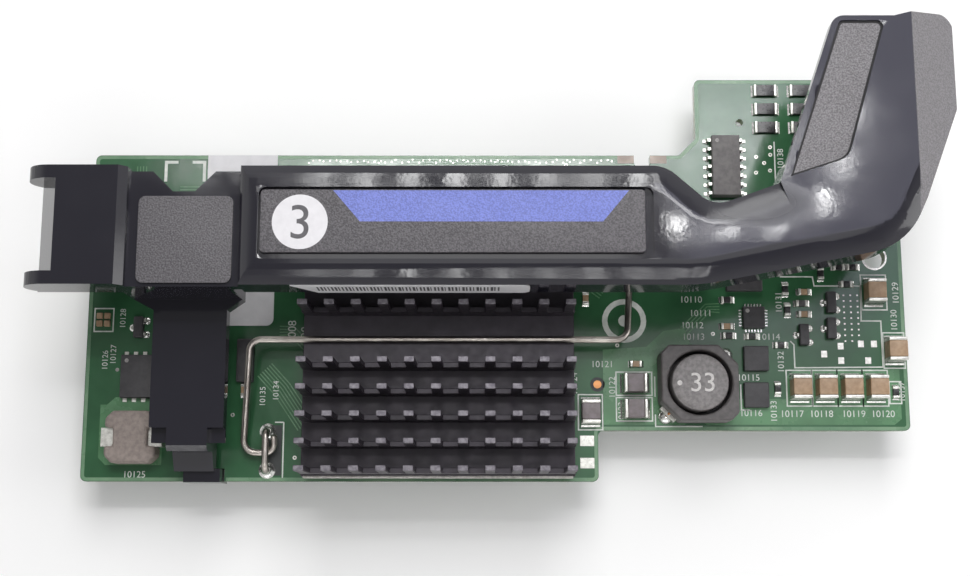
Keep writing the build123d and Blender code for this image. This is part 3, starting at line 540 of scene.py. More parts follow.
class CardHandleLook(bpy.types.PropertyGroup):
    """Colours and figure of the carrier handle and its label"""

    plastic: tint("Plastic", "Black of the moulded handle", linear("23222a"))
    pad: tint("Textured pads", "Dark grey of the spark-textured pads", linear("646165"))
    # The grip's paler grey stands for the light on its texture: painted sheen
    grip: tint("Grip texture, painted sheen", "Paler grey of the worn texture on the grip", linear("868386"))
    band: tint("Label band", "Blue band printed on the label", linear("7c88d6"))
    figure: StringProperty(name="Figure", description="Plain figure in the label's disc", default="3")


class CardStageLook(bpy.types.PropertyGroup):
    """Light and floor"""

    sky: FloatProperty(name="Sky", description="Strength of the even light from all round", default=0.13)
    strip: watts("Strip", "Power of a metre of the narrow lamps", 0.35)
    small: watts("Small lamps", "Power of each small lamp", 0.009)
    right: watts("Right panel", "Power of the panel above the grip", 0.15)
    label: watts("Label panel", "Power of the panel above the label", 0.05)
    top: watts("Top panel", "Power of the panel straight above", 0.1)
    front: watts("Front panel", "Power of the low panel in front", 0.28)
    line: watts("Line lamp", "Power of the thin lamp behind the bar", 0.18)
    side: watts("Side", "Power of the side panel", 0.5)
    floor: tint("Floor", "Near white of the floor", (0.93, 0.925, 0.92))
    backdrop: FloatProperty(
        name="Backdrop", description="White that camera and mirrors see on the floor", default=0.09
    )


# Pale band along the board's outline: the band, its breaks at the notches, and the outline
EDGE_INSET = 0.3
EDGE_WIDTH = 0.45
EDGE_CORNER = 0.55
EDGE_TOP = 0.01
FRONT_LEFT_OF_HOOK = 14.1
FRONT_RIGHT_OF_HOOK = 19.8
REAR_LEFT_OF_KEY = 75.5
REAR_RIGHT_OF_KEY = 78.3
STEP = (70.2, 6.9)
BOARD_RIGHT, BOARD_REAR = 112.7, 45.6
TAB_LEFT, TAB_REAR, TAB_SLOPE = 84.5, 56.7, 2.4


def edge_band():
    """Strips along the board's outline, broken at the hook's notch and the key notch."""
    inset = EDGE_INSET
    right = [
        (FRONT_RIGHT_OF_HOOK, inset),
        (STEP[0] - inset, inset),
        (STEP[0] - inset, STEP[1] + inset),
        (BOARD_RIGHT - inset, STEP[1] + inset),
        (BOARD_RIGHT - inset, TAB_REAR - inset),
        (TAB_LEFT + inset, TAB_REAR - inset),
        (TAB_LEFT + inset, BOARD_REAR + TAB_SLOPE - inset / 2),
        (TAB_LEFT - TAB_SLOPE + inset / 2, BOARD_REAR - inset),
        (REAR_RIGHT_OF_KEY, BOARD_REAR - inset),
    ]
    left = [
        (REAR_LEFT_OF_KEY, BOARD_REAR - inset),
        (inset, BOARD_REAR - inset),
        (inset, inset),
        (FRONT_LEFT_OF_HOOK, inset),
    ]
    return [ribbon(rounded(path, EDGE_CORNER), EDGE_WIDTH, 0.0, EDGE_TOP) for path in (right, left)]


class CARD_OT_board(bpy.types.Operator):
    """Finishes the board and draws the pale band along its edge"""

    bl_idname = "card.board"
    bl_label = "Board"

    def execute(self, context):
        look = context.scene.card_board
        dress("circuit_board", solder_mask(tuple(look.mask)))
        piece("edge_band", edge_band(), finish("mask over bare laminate"))
        return {"FINISHED"}


# Copper under the mask, and bare pads: outlines, (x, y, length, width) and places
POURS = [
    [(84.2, 8.3), (85.0, 7.7), (110.6, 7.7), (111.6, 8.5), (111.6, 15.3), (97.4, 15.3), (96.0, 14.2),
     (96.0, 11.2), (84.2, 11.2)],
    [(71.0, 7.7), (76.4, 7.7), (82.0, 7.7), (83.2, 8.6), (83.2, 18.4), (82.2, 21.0), (79.4, 20.6),
     (77.0, 18.4), (71.0, 18.0)],
    [(2.3, 3.2), (3.3, 2.2), (10.9, 2.2), (10.9, 11.4), (4.3, 11.4), (3.2, 10.4), (2.3, 10.4)],
]
EMPTY_PADS = [
    (68.7, 5.5, 1.9, 1.4), (68.7, 2.5, 1.9, 1.4), (103.7, 18.5, 0.8, 0.9), (103.7, 16.5, 0.8, 0.9),
    (101.4, 17.4, 0.8, 0.9), (106.5, 18.8, 0.8, 0.9), (108.3, 18.8, 0.8, 0.9), (107.4, 16.5, 0.8, 0.9),
]
VIAS = [
    (93.0, 45.4), (95.0, 46.8), (95.0, 45.7), (94.1, 44.5), (92.9, 43.1), (94.9, 43.4), (29.0, 3.2),
    (20.4, 9.0), (13.2, 2.8), (73.0, 18.6), (86.2, 20.2), (87.6, 24.6), (66.2, 44.2), (63.0, 43.4),
]
REAR_VIAS = ((30.0, 44.5), (73.0, 45.0), 60)
VIA_STEPS = (0.618034, 0.754878)
DOT_GRID = (104.4, 19.2, 0.95, 0.8, 3, 9)
NOTCH_HORNS = [(74.6, 45.0, 2.3, 1.1), (79.2, 45.0, 2.3, 1.1)]
FIDUCIAL = (70.2, 13.2)
GUIDE_HOLE = (108.9, 30.9)
HOLE_RING, VIA_RING, SMALL_VIA_RING = (1.52, 1.75), (0.12, 0.28), (0.05, 0.13)
DOT_SIZE, FIDUCIAL_RADIUS = (0.22, 0.2), 0.55
BUS_PITCH = 0.42
# Groups of parallel tracks: the middle line and how many
TRACKS = [
    ([(24.6, 15.2), (27.0, 12.6), (30.4, 7.6)], 7),
    ([(67.0, 30.6), (69.2, 27.8), (71.4, 26.2)], 7),
    ([(26.5, 20.6), (28.2, 20.6), (30.3, 18.4)], 4),
    ([(82.2, 20.6), (85.6, 23.8), (87.2, 23.8)], 4),
    ([(12.0, 40.2), (20.0, 40.2), (23.0, 43.2), (40.0, 43.2)], 5),
    ([(44.0, 44.0), (58.0, 44.0), (60.5, 41.5), (70.0, 41.5)], 5),
    ([(2.0, 26.0), (2.0, 33.0), (6.5, 37.5), (6.5, 44.0)], 4),
    ([(100.0, 30.4), (103.0, 30.4), (105.4, 32.8), (105.4, 45.0)], 5),
]
POUR_TOP, TRACK_TOP, VIA_TOP, DOT_TOP, PAD_TOP = 0.012, 0.014, 0.025, 0.03, 0.035


def bus(points, count, pitch):
    """Parallel tracks: a line repeated at a pitch along its own mitred side."""
    line = np.asarray(points, float)
    way = unit(np.gradient(line, axis=0))
    side = np.column_stack([-way[:, 1], way[:, 0]])
    return [line + side * pitch * (i - (count - 1) / 2) for i in range(count)]


def rear_vias():
    """Small vias strewn evenly behind the bar: steps of two irrational shares, each taken modulo one."""
    low, high, count = REAR_VIAS
    share = np.arange(count)[:, None] * VIA_STEPS % 1.0
    return np.array(low) + share * (np.array(high) - low)


class CARD_OT_copper(bpy.types.Operator):
    """Lays the copper areas and tracks under the mask, the bare pads and the vias"""

    bl_idname = "card.copper"
    bl_label = "Copper"

    def execute(self, context):
        look = context.scene.card_board
        # Epoxy ink over copper: paler and duller than over glass cloth
        pale = tuple(look.copper)
        material, tree, principled = surface("solder mask over copper", ior=1.5)
        deep = tuple(0.75 * channel for channel in pale)
        gloss = spread(tree, grain(tree, 2.0), 0.2, 0.34)
        feed(tree, principled, shades(tree, grain(tree, 5.0), deep, pale), gloss)
        areas = [slab(outline, 0.0, POUR_TOP) for outline in POURS]
        piece("copper_areas", areas, material)
        tracks = [ribbon(line, look.track / MM, 0.0, TRACK_TOP)
                  for points, count in TRACKS for line in bus(points, count, BUS_PITCH)]
        piece("copper_tracks", tracks, material)
        pads = [slab(rectangle(*spot), 0.0, PAD_TOP) for spot in EMPTY_PADS]
        pads += [annulus(*GUIDE_HOLE, *HOLE_RING, 0.0, PAD_TOP)]
        pads += [annulus(x, y, *VIA_RING, 0.0, VIA_TOP, 14) for x, y in VIAS]
        pads += [annulus(x, y, *SMALL_VIA_RING, 0.0, VIA_TOP, 10) for x, y in rear_vias()]
        grid_x, grid_y, step_x, step_y, columns, rows = DOT_GRID
        pads += [slab(rectangle(grid_x + i * step_x, grid_y + j * step_y, *DOT_SIZE), 0.0, DOT_TOP)
                 for i in range(columns) for j in range(rows)]
        piece("bare_pads", pads, finish("tin plate"))
        spot = disc(*FIDUCIAL, FIDUCIAL_RADIUS, 0.0, DOT_TOP)
        piece("fiducial", [spot], finish("bare copper, lacquered"))
        horns = [slab(rectangle(*spot), 0.0, DOT_TOP) for spot in NOTCH_HORNS]
        piece("notch_pads", horns, finish("dull tinned copper"))
        return {"FINISHED"}


# Print on the board: outlines as (x, y, length, width), lines as lists of points
PART_BOXES = [
    (97.8, 12.7, 3.45, 4.9), (101.3, 12.7, 3.45, 4.9), (104.75, 12.7, 3.45, 4.9), (108.2, 12.7, 3.45, 4.9),
    (108.6, 26.0, 3.5, 4.9), (111.0, 17.9, 2.9, 4.9), (110.9, 12.1, 1.6, 3.0), (75.2, 13.3, 4.9, 3.2),
    (75.2, 9.8, 4.9, 3.2), (69.2, 9.4, 3.3, 4.8), (2.2, 22.1, 2.6, 3.2),
]
PRINT_LINES = [
    [(95.7, 28.2), (100.2, 28.2), (100.4, 26.9), (106.8, 26.9), (106.7, 22.0), (109.4, 22.0), (109.4, 15.6),
     (97.3, 15.5), (97.3, 18.7), (96.8, 19.2)],
    [(27.4, 0.5), (27.4, 8.0)],
    [(26.2, 8.0), (27.4, 8.0)],
    [(95.6, 41.0), (95.6, 47.6)],
]
BRACKETS = [
    [(9.9, 41.8), (9.9, 44.6), (11.6, 44.6)],
    [(13.6, 44.6), (15.3, 44.6), (15.3, 41.8)],
]
BRACKET_WIDTH = 0.42
TARGET, TARGET_RING, TARGET_DOT = (74.0, 22.0), (2.3, 3.05), 0.8
GROUND_RING = (0.56, 1.0)
ANCHOR_GROUND = [(24.6, 0.8), (27.2, 0.8), (27.2, 7.6), (24.6, 7.6)]
PRINT_TOP, GROUND_TOP = 0.02, 0.012
# Corner marks: gap to the transistors, the mark's foot and how far it stops short; the same for the inductor
TRANSISTOR_GAP, TRANSISTOR_FOOT, TRANSISTOR_SHORT = 0.3, 1.2, 0.2
INDUCTOR_GAP, INDUCTOR_FOOT, INDUCTOR_RISE, INDUCTOR_DASH = (0.35, 0.45), 6.4, 1.2, (3.6, 6.4)
# Plain counting figures beside the parts: figures, place, height of the face and turn in degrees
FIGURES = [
    ("10110", 83.4, 25.0, 1.25, 0), ("10111", 84.6, 23.1, 1.25, 0), ("10112", 83.5, 21.4, 1.25, 0),
    ("10113", 83.6, 19.8, 1.25, 0), ("10114", 94.0, 19.8, 1.25, 0), ("10115", 91.0, 14.15, 1.25, 0),
    ("10116", 91.2, 9.3, 1.25, 0), ("10117", 96.8, 9.2, 1.3, 0), ("10118", 100.8, 9.2, 1.3, 0),
    ("10119", 105.2, 9.2, 1.3, 0), ("10120", 109.2, 9.2, 1.3, 0), ("10121", 70.9, 16.0, 1.25, 0),
    ("10122", 72.2, 12.9, 1.2, 90), ("10123", 73.4, 9.4, 1.2, 90), ("10124", 67.0, 13.4, 1.25, 90),
    ("10125", 7.4, 0.95, 1.25, 0), ("10126", 2.6, 16.6, 1.1, 90), ("10127", 3.7, 17.4, 1.1, 90),
    ("10128", 4.8, 22.4, 1.1, 90), ("10129", 111.6, 26.0, 1.25, 90), ("10130", 111.2, 22.2, 1.2, 90),
    ("10131", 95.4, 24.6, 1.2, 90), ("10132", 95.4, 16.4, 1.2, 90), ("10133", 94.2, 9.6, 1.2, 90),
    ("001", 79.2, 28.4, 2.6, 90), ("10134", 26.2, 12.4, 1.1, 90), ("10135", 24.4, 11.6, 1.1, 90),
    ("104", 66.6, 4.2, 1.25, 90), ("10136", 91.4, 26.8, 1.25, 0), ("10137", 111.8, 12.3, 1.1, 90),
    ("107", 71.2, 28.6, 1.25, 90), ("00", 25.0, 3.6, 1.1, 90), ("1008", 28.2, 20.6, 1.6, 90),
    ("20", 30.0, 20.4, 1.6, 90), ("10138", 96.4, 45.2, 1.2, 90),
]


class CARD_OT_print(bpy.types.Operator):
    """Prints the part outlines, brackets and plain figures on the board"""

    bl_idname = "card.print"
    bl_label = "Board print"

    def execute(self, context):
        look = context.scene.card_board
        width, top = look.line / MM, PRINT_TOP
        shapes = [ribbon(rectangle(*box), width, 0.0, top, closed=True) for box in PART_BOXES]
        shapes += [ribbon(line, width, 0.0, top) for line in PRINT_LINES]
        shapes += [ribbon(line, BRACKET_WIDTH, 0.0, top) for line in BRACKETS]
        shapes += [annulus(*TARGET, *TARGET_RING, 0.0, top), disc(*TARGET, TARGET_DOT, 0.0, top)]
        low, high = (corners.min(0) for corners in solid_boxes("power_transistors"))
        left, front = low[:2] - TRANSISTOR_GAP
        marks = [[(left, high[1] - TRANSISTOR_SHORT), (left, front), (left + TRANSISTOR_FOOT, front)]]
        low = node_box("inductor_shield")[0]
        left, front = low[:2] - INDUCTOR_GAP
        marks += [[(left, low[1] + end) for end in INDUCTOR_DASH],
                  [(left, low[1] + INDUCTOR_RISE), (left, front), (left + INDUCTOR_FOOT, front)]]
        shapes += [ribbon(line, width, 0.0, top) for line in marks]
        shapes += [numeral(text, x, y, size, 0.0, top, math.radians(turn))
                   for text, x, y, size, turn in FIGURES]
        piece("board_print", shapes, finish("white epoxy ink"))
        ground = [slab(ANCHOR_GROUND, 0.0, GROUND_TOP), annulus(*FIDUCIAL, *GROUND_RING, 0.0, GROUND_TOP)]
        piece("anchor_ground", ground, finish("black epoxy ink"))
        return {"FINISHED"}


# Two-ended chips: piece, solid, finish, slot, round of the edges and its steps; for ends the solder's size
CHIPS = [
    ("tan_capacitor_bodies", "tan_capacitors", "tan barium titanate ceramic", "tan_ceramic", 0.12, 4),
    ("tan_capacitor_bodies_caps", "tan_capacitor_ends", "tin plate", "tin_plate", 0.156, 4, 0.45, 0.45),
    ("grey_capacitor_bodies", "grey_capacitors", "grey barium titanate ceramic", "grey_ceramic", 0.12, 4),
    ("grey_capacitor_bodies_caps", "grey_capacitor_ends", "tin plate", "tin_plate", 0.156, 4, 0.45, 0.5),
    ("large_resistor_bodies", "large_resistors", "black glass overcoat on alumina", "mould_compound",
     0.05, 4),
    ("large_resistor_bodies_caps", "large_resistor_ends", "tin plate", "tin_plate", 0.065, 4, 0.35, 0.9),
    ("resistor_bodies", "chip_resistors", "black glass overcoat on alumina", "mould_compound", 0.05, 3),
    ("small_capacitor_bodies", "chip_capacitors", "tan barium titanate ceramic", "tan_ceramic", 0.05, 3),
    ("bead_body", "ferrite_bead", "sintered ferrite, small", "ferrite", 0.05, 3),
    ("array_bodies", "resistor_array", "tan barium titanate ceramic", "tan_ceramic", 0.05, 3),
    ("small_chip_caps", "small_chip_ends", "tin plate", "tin_plate", 0.06, 3, 0.3, 0.8),
]


def solder_beside(low, high, reach, rise):
    """Solder wedges on the outer side of ends that come in pairs; rise is a share of the end's height."""
    centre = (low + high) / 2
    pair = centre.reshape(-1, 2, 3).mean(1).repeat(2, axis=0)
    way = np.round(unit((centre - pair)[:, :2]))
    return [fillet_wedge(a, b, w, reach, rise * (b[2] - a[2])) for a, b, w in zip(low, high, way)]


class CARD_OT_chips(bpy.types.Operator):
    """Dresses the capacitors, resistors and beads and solders them down"""

    bl_idname = "card.chips"
    bl_label = "Two-ended chips"

    def execute(self, context):
        solder = []
        for name, node, coat, slot, edge, steps, *wedge in CHIPS:
            stand_in(name, node, blocks(node, edge, steps), finish(coat))
            if wedge:
                solder += solder_beside(*solid_boxes(node), *wedge)
        piece("chip_solder", solder, finish("reflowed solder"))
        return {"FINISHED"}


# Packages: the round of their edges, the pads round the driver, and the solder as shares of a lead's pad
PACKAGE_EDGE = 0.14
DRIVER_PADS, DRIVER_SPAN, DRIVER_OUT = 6, 0.7, 0.28
DRIVER_PAD, DRIVER_PAD_TOP = (0.4, 0.2), 0.05
LEAD_SOLDER = ((0.5, 0.0), (0.42, 0.12), (0.2, 0.2))
# Dots at the first pins: each package's inset from its corner, and one on the board beside the switch
PIN_DOTS = (("logic_chip", 0.75), ("power_switch", 0.8), ("driver_chip", 0.6))
PIN_DOT_RADIUS, PIN_DOT_PROUD = 0.28, 0.006
BOARD_DOT, BOARD_DOT_RADIUS = (0.7, 1.0), 0.26


class CARD_OT_packages(bpy.types.Operator):
    """Dresses the moulded chip packages and their leads"""

    bl_idname = "card.packages"
    bl_label = "Chip packages"

    def execute(self, context):
        grey = finish("grey epoxy mould compound")
        black = finish("black epoxy mould compound")
        for node, material in (
            ("logic_chip", grey), ("power_switch", black), ("small_transistors", black),
            ("power_transistors", black), ("driver_chip", black), ("monitor_chip", black),
            ("regulator_chip", black),
        ):
            stand_in(node + "_body", node, blocks(node, PACKAGE_EDGE), material)
        for node in ("logic_chip_leads", "small_transistor_leads", "power_switch_leads"):
            dress(node, finish("tin plate"))
        pads = []
        for node, count, size in (("small_transistor_leads", 12, 1.05), ("logic_chip_leads", 14, 0.75)):
            low, high = solid_boxes(node, len(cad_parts[node].data.polygons) // count)
            profile = [(size * share, height) for share, height in LEAD_SOLDER]
            pads += [lathe(x, y, profile, 12) for x, y, _ in (low + high) / 2]
        low, high = (corner[:2] for corner in node_box("driver_chip"))
        middle, half = (low + high) / 2, (high - low) / 2
        long, short = DRIVER_PAD
        for along in np.linspace(-DRIVER_SPAN, DRIVER_SPAN, DRIVER_PADS):
            for side in (-1, 1):
                x, y = middle + along * half
                out_x, out_y = middle + side * (half + DRIVER_OUT)
                pads += [slab(rectangle(out_x, y, long, short), 0.0, DRIVER_PAD_TOP),
                         slab(rectangle(x, out_y, short, long), 0.0, DRIVER_PAD_TOP)]
        piece("lead_solder", pads, finish("reflowed solder"), 50)
        dress("controller_chip", black)
        dress("thermal_pad", finish("grey silicone gap pad"))
        dots = []
        for node, inset in PIN_DOTS:
            low, high = node_box(node)
            dots.append(disc(low[0] + inset, high[1] - inset, PIN_DOT_RADIUS, high[2] - INK_SUNK,
                             high[2] + PIN_DOT_PROUD, 20))
        low, high = node_box("power_switch")
        x, y = low[0] - BOARD_DOT[0], (low[1] + high[1]) / 2 + BOARD_DOT[1]
        dots.append(disc(x, y, BOARD_DOT_RADIUS, 0.0, PRINT_TOP, 18))
        piece("first_pin_marks", dots, finish("pale laser mark"))
        return {"FINISHED"}


# Inductor: the drum's upper edge as (inset, drop), the wires' feet, and their solder as (radius, height)
DRUM_EDGE = ((0.0, 0.45), (0.12, 0.16), (0.42, 0.02), (0.75, 0.0))
WIRE_RADIUS, WIRE_BEND, WIRE_GAP, WIRE_SHOULDER = 0.2, 0.5, 0.25, 0.2
WIRE_FOOT, WIRE_HEIGHT, WIRE_END = 5.9, 1.6, 0.7
WIRE_SOLDER = [(1.1, 0.0), (1.0, 0.25), (0.75, 0.6), (0.4, 0.85), (0.12, 0.95)]
DRUM_FIGURES, DRUM_FIGURE_SIZE, DRUM_FIGURE_ASIDE = "33", 3.6, 0.3
DRUM_DOT_SHARE, DRUM_DOT_DROP, DRUM_DOT_RADIUS = 0.72, 0.1, 0.34


class CARD_OT_inductors(bpy.types.Operator):
    """Dresses the shielded inductor and the moulded choke"""

    bl_idname = "card.inductors"
    bl_label = "Inductors"

    def execute(self, context):
        eased("inductor_shield", "inductor_shield_body", finish("sintered ferrite"), width=0.25)
        low, high = node_box("inductor_drum")
        axis = (low[:2] + high[:2]) / 2
        x, y = axis
        radius, top = (high[0] - low[0]) / 2, high[2]
        edge = [(radius - inset, top - drop) for inset, drop in DRUM_EDGE]
        drum = lathe(x, y, [(radius, low[2]), *edge], 56)
        stand_in("inductor_drum_body", "inductor_drum", [drum], finish("sintered ferrite, lapped"))
        marks = [numeral(DRUM_FIGURES, x + DRUM_FIGURE_ASIDE, y, DRUM_FIGURE_SIZE, top, top + INK_PROUD)]
        marks += [disc(x - radius * DRUM_DOT_SHARE, y - DRUM_DOT_DROP, DRUM_DOT_RADIUS, top - INK_SUNK,
                       top + INK_PROUD)]
        piece("inductor_marks", marks, finish("white ink on ferrite"))
        dress("inductor_terminals", finish("tin plate"))
        solder, wires = [], []
        for a, b in zip(*solid_boxes("inductor_terminals")):
            way = ((a + b)[:2] / 2 - axis) / np.linalg.norm((a + b)[:2] / 2 - axis)
            foot, start = axis + way * WIRE_FOOT, axis + way * (radius + WIRE_GAP)
            solder.append(lathe(*foot, WIRE_SOLDER, 20))
            route = [(*start, WIRE_HEIGHT), (*(foot - WIRE_SHOULDER * way), WIRE_HEIGHT), (*foot, WIRE_END)]
            wires.append(tube(bent(route, [WIRE_BEND]), WIRE_RADIUS, (-way[1], way[0], 0)))
        piece("inductor_solder", solder, finish("reflowed solder"), 60)
        piece("inductor_wires", wires, finish("lacquered copper wire"), 60)
        eased("moulded_choke", "moulded_choke_body", finish("pressed iron powder"), width=0.3)
        dress("choke_terminals", finish("tin plate"))
        return {"FINISHED"}


# Heat sink: a painted highlight in paler grey within these depths of the pins' tips, the base, and the sawn
# front edge
TIP_SHEEN_FROM, TIP_SHEEN_FULL = 0.12, 0.02
SINK_BASE = 2.0
SAWN_INSET, SAWN_OUT, SAWN_IN = 0.3, 0.24, 0.1
SAWN_DROP, SAWN_PROUD, SAWN_EDGE = 0.3, 0.03, 0.05


def anodised():
    """Black anodised aluminium: satin, near black, with a painted highlight in paler grey on the pins' tips.
    """
    material, tree, principled = surface("black anodised aluminium", metallic=0.35, ior=1.6)
    place = add(tree, "ShaderNodeTexCoord").outputs["Object"]
    height = add(tree, "ShaderNodeSeparateXYZ", {"Vector": place}).outputs["Z"]
    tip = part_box("heat_sink")[1].z
    # The tips' mask by height and the paler grey mixed in there: a painted highlight on the pins' tips
    cut = add(tree, "ShaderNodeMapRange", {
        "Value": height, "From Min": tip - TIP_SHEEN_FROM * MM, "From Max": tip - TIP_SHEEN_FULL * MM,
    }).outputs["Result"]
    cloud = shades(tree, grain(tree, 2.5), linear("1f1a22"), linear("2d2730"))
    bare = shades(tree, grain(tree, 0.5), linear("56525a"), linear("7a767c"))
    mix = add(tree, "ShaderNodeMix", {"Factor": cut, "A": cloud, "B": bare}, data_type="RGBA")
    feed(tree, principled, mix.outputs["Result"], spread(tree, grain(tree, 0.8), 0.4, 0.55))
    return material


class CARD_OT_heat_sink(bpy.types.Operator):
    """Dresses the heat sink and its bare front edge"""

    bl_idname = "card.heat_sink"
    bl_label = "Heat sink"

    def execute(self, context):
        eased("heat_sink", "heat_sink_body", anodised(), width=0.08, segments=1)
        low, high = node_box("heat_sink")
        floor = low[2] + SINK_BASE
        strip = block((low[0] + SAWN_INSET, low[1] - SAWN_OUT, floor - SAWN_DROP),
                      (high[0] - SAWN_INSET, low[1] + SAWN_IN, floor + SAWN_PROUD), SAWN_EDGE, SAWN_EDGE, 2)
        piece("sawn_edge", [strip], finish("sawn aluminium"))
        return {"FINISHED"}


# Spring clip and anchors, repeated from the solids
CLIP_RADIUS = 0.45
CLIP_HEIGHT = 4.8
CLIP_REACH, CLIP_SPLAY = 25.3, 1.1
HOOK_DEPTH, HOOK_WIDTH, HOOK_RETURN = 14.9, 4.2, 2.3
HOOK_HEIGHT, HOOK_RISE = 1.3, 0.8
BEND_RADII = [1.35, 1.6, 1.6]
ANCHOR_RADIUS = 0.45
ANCHOR_TOP, ANCHOR_BOTTOM = 2.28, -2.4
ANCHOR_BEND = 1.0
ANCHOR_SPAN = 6.1
ANCHOR_SOLDER = [(1.15, 0.0), (0.95, 0.12), (0.65, 0.35), (0.5, 0.75)]


class CARD_OT_spring_clip(bpy.types.Operator):
    """Draws the bright spring wire, its two anchors and their solder"""

    bl_idname = "card.spring_clip"
    bl_label = "Spring clip"

    def execute(self, context):
        low, high = node_box("heat_sink")
        middle = np.append((low[:2] + high[:2]) / 2, 0.0)
        back = CLIP_REACH + CLIP_SPLAY - HOOK_WIDTH
        half = np.array([
            (CLIP_REACH, 0, CLIP_HEIGHT),
            (CLIP_REACH + CLIP_SPLAY, HOOK_DEPTH, HOOK_HEIGHT),
            (back, HOOK_DEPTH, HOOK_HEIGHT),
            (back, HOOK_DEPTH - HOOK_RETURN, HOOK_HEIGHT + HOOK_RISE),
        ])
        route = np.concatenate([half[::-1] * (-1, -1, 1), half]) + middle
        wire = finish("bright spring steel wire")
        path = bent(route, BEND_RADII + BEND_RADII[::-1])
        stand_in("spring_clip_wire", "spring_clip", [tube(path, CLIP_RADIUS, (0, 0, 1))], wire,
                 60)
        low, high = node_box("clip_anchors")
        staples, solder = [], []
        for x, front in ((low[0] + ANCHOR_RADIUS, low[1]), (high[0] - ANCHOR_RADIUS, high[1] - ANCHOR_SPAN)):
            near, far = front + ANCHOR_RADIUS, front + ANCHOR_SPAN - ANCHOR_RADIUS
            line = [(x, near, ANCHOR_BOTTOM), (x, near, ANCHOR_TOP),
                    (x, far, ANCHOR_TOP), (x, far, ANCHOR_BOTTOM)]
            staples.append(tube(bent(line, [ANCHOR_BEND] * 2), ANCHOR_RADIUS, (1, 0, 0)))
            solder += [lathe(x, y, ANCHOR_SOLDER, 20) for y in (near, far)]
        stand_in("anchor_wires", "clip_anchors", staples, wire, 60)
        piece("anchor_solder", solder, finish("reflowed solder"), 60)
        return {"FINISHED"}


# Carrier handle: eased edges, pebble grain, and the crease beyond which the grip's flank is textured
HANDLE_EDGE, HANDLE_CUTS = 0.25, ((0, 2.7), (1, 2.9))
PEBBLE_MM = 0.22
CREASE_X, CREASE_FADE = 109.4, 0.15
FLANK_ROUGHNESS = 0.55
# The scuffed inner edge of the bend, where fingers pull: its centre and its reach
SCUFF = (88.4, 33.8)
SCUFF_REACH = (8.0, 3.4)
SCUFF_ROUGHNESS = 0.28
# Textured pads, with the thumb pad's drop below the bar's top, and the label's print
THUMB_DROP, THUMB_SUNK, THUMB_PROUD = 2.0, 0.05, 0.03
THUMB_PAD = ((11.0, 23.9), (23.0, 35.1))
GRIP_PAD = [(93.35, 37.3), (100.5, 39.65), (105.85, 57.6), (100.3, 57.6)]
GRIP_PAD_RADII = (0.15, 2.45, 0.75, 0.75)
PAD_RECESS, PAD_SUNK, PAD_PROUD = 0.35, 0.02, 0.1
# Near-black strip round the grip pad, painted shade in the groove: its width and how far it stands above the
# bed
GROOVE_SHADE_WIDTH, GROOVE_SHADE_PROUD = 0.32, 0.12
LABEL_BAND = [(39.2, 31.4), (69.6, 31.4), (72.9, 35.4), (35.8, 35.4)]
LABEL_DISC = (31.7, 31.35, 3.5)
LABEL_FIGURE_SIZE, LABEL_FIGURE_PROUD = 6.2, 0.02


def gloss_plastic(colour, pad):
    """Black moulded PC and ABS: polished, with faint smears and orange peel, a dull scuff on the bend's inner
    edge, and a spark texture beyond the crease in the grip's paler grey, a painted sheen."""
    material, tree, principled = surface("black moulded plastic, polished", ior=1.5)
    place = add(tree, "ShaderNodeTexCoord").outputs["Object"]
    along = add(tree, "ShaderNodeSeparateXYZ", {"Vector": place}).outputs["X"]
    flank = add(tree, "ShaderNodeMapRange", {
        "Value": along, "From Min": CORNER[0] + CREASE_X * MM,
        "From Max": CORNER[0] + (CREASE_X + CREASE_FADE) * MM,
    }).outputs["Result"]
    # The flank's spark texture takes the grip's paler grey, a painted sheen of the light from the right
    pebble = shades(tree, grain(tree, PEBBLE_MM, 1.0), tuple(0.6 * channel for channel in pad), pad)
    base = add(tree, "ShaderNodeMix", {"Factor": flank, "A": (*colour, 1), "B": pebble}, data_type="RGBA")
    smear = spread(tree, grain(tree, 6.0, 4.0), 0.05, 0.12)
    centre = [CORNER[0] + SCUFF[0] * MM, CORNER[1] + SCUFF[1] * MM, 0.0]
    reach = [1 / (SCUFF_REACH[0] * MM), 1 / (SCUFF_REACH[1] * MM), 0.0]
    aside = add(tree, "ShaderNodeVectorMath", {0: place, 1: centre}, operation="SUBTRACT").outputs["Vector"]
    aside = add(tree, "ShaderNodeVectorMath", {0: aside, 1: reach}, operation="MULTIPLY").outputs["Vector"]
    aside = add(tree, "ShaderNodeVectorMath", {0: aside}, operation="LENGTH").outputs["Value"]
    scuff = add(tree, "ShaderNodeMapRange", {
        "Value": aside, "From Min": 0.65, "From Max": 1.0, "To Min": 1.0, "To Max": 0.0,
    }).outputs["Result"]
    worn = add(tree, "ShaderNodeMix", {"Factor": scuff, "A": smear, "B": SCUFF_ROUGHNESS}).outputs["Result"]
    rough = add(tree, "ShaderNodeMix", {"Factor": flank, "A": worn, "B": FLANK_ROUGHNESS})
    feed(tree, principled, base.outputs["Result"], rough.outputs["Result"])
    relief(tree, principled, grain(tree, 0.8, 1.0), 0.003)
    return material


def textured_plastic(name, colour, depth=0.45):
    """Moulded plastic off a spark-eroded tool: matte, with a fine pebble grain."""
    material, tree, principled = surface(name, ior=1.5)
    pebble = grain(tree, PEBBLE_MM, 1.0)
    deep = tuple(depth * channel for channel in colour)
    feed(tree, principled, shades(tree, pebble, deep, colour), spread(tree, grain(tree, 4.0), 0.5, 0.62))
    relief(tree, principled, pebble, 0.06)
    return material


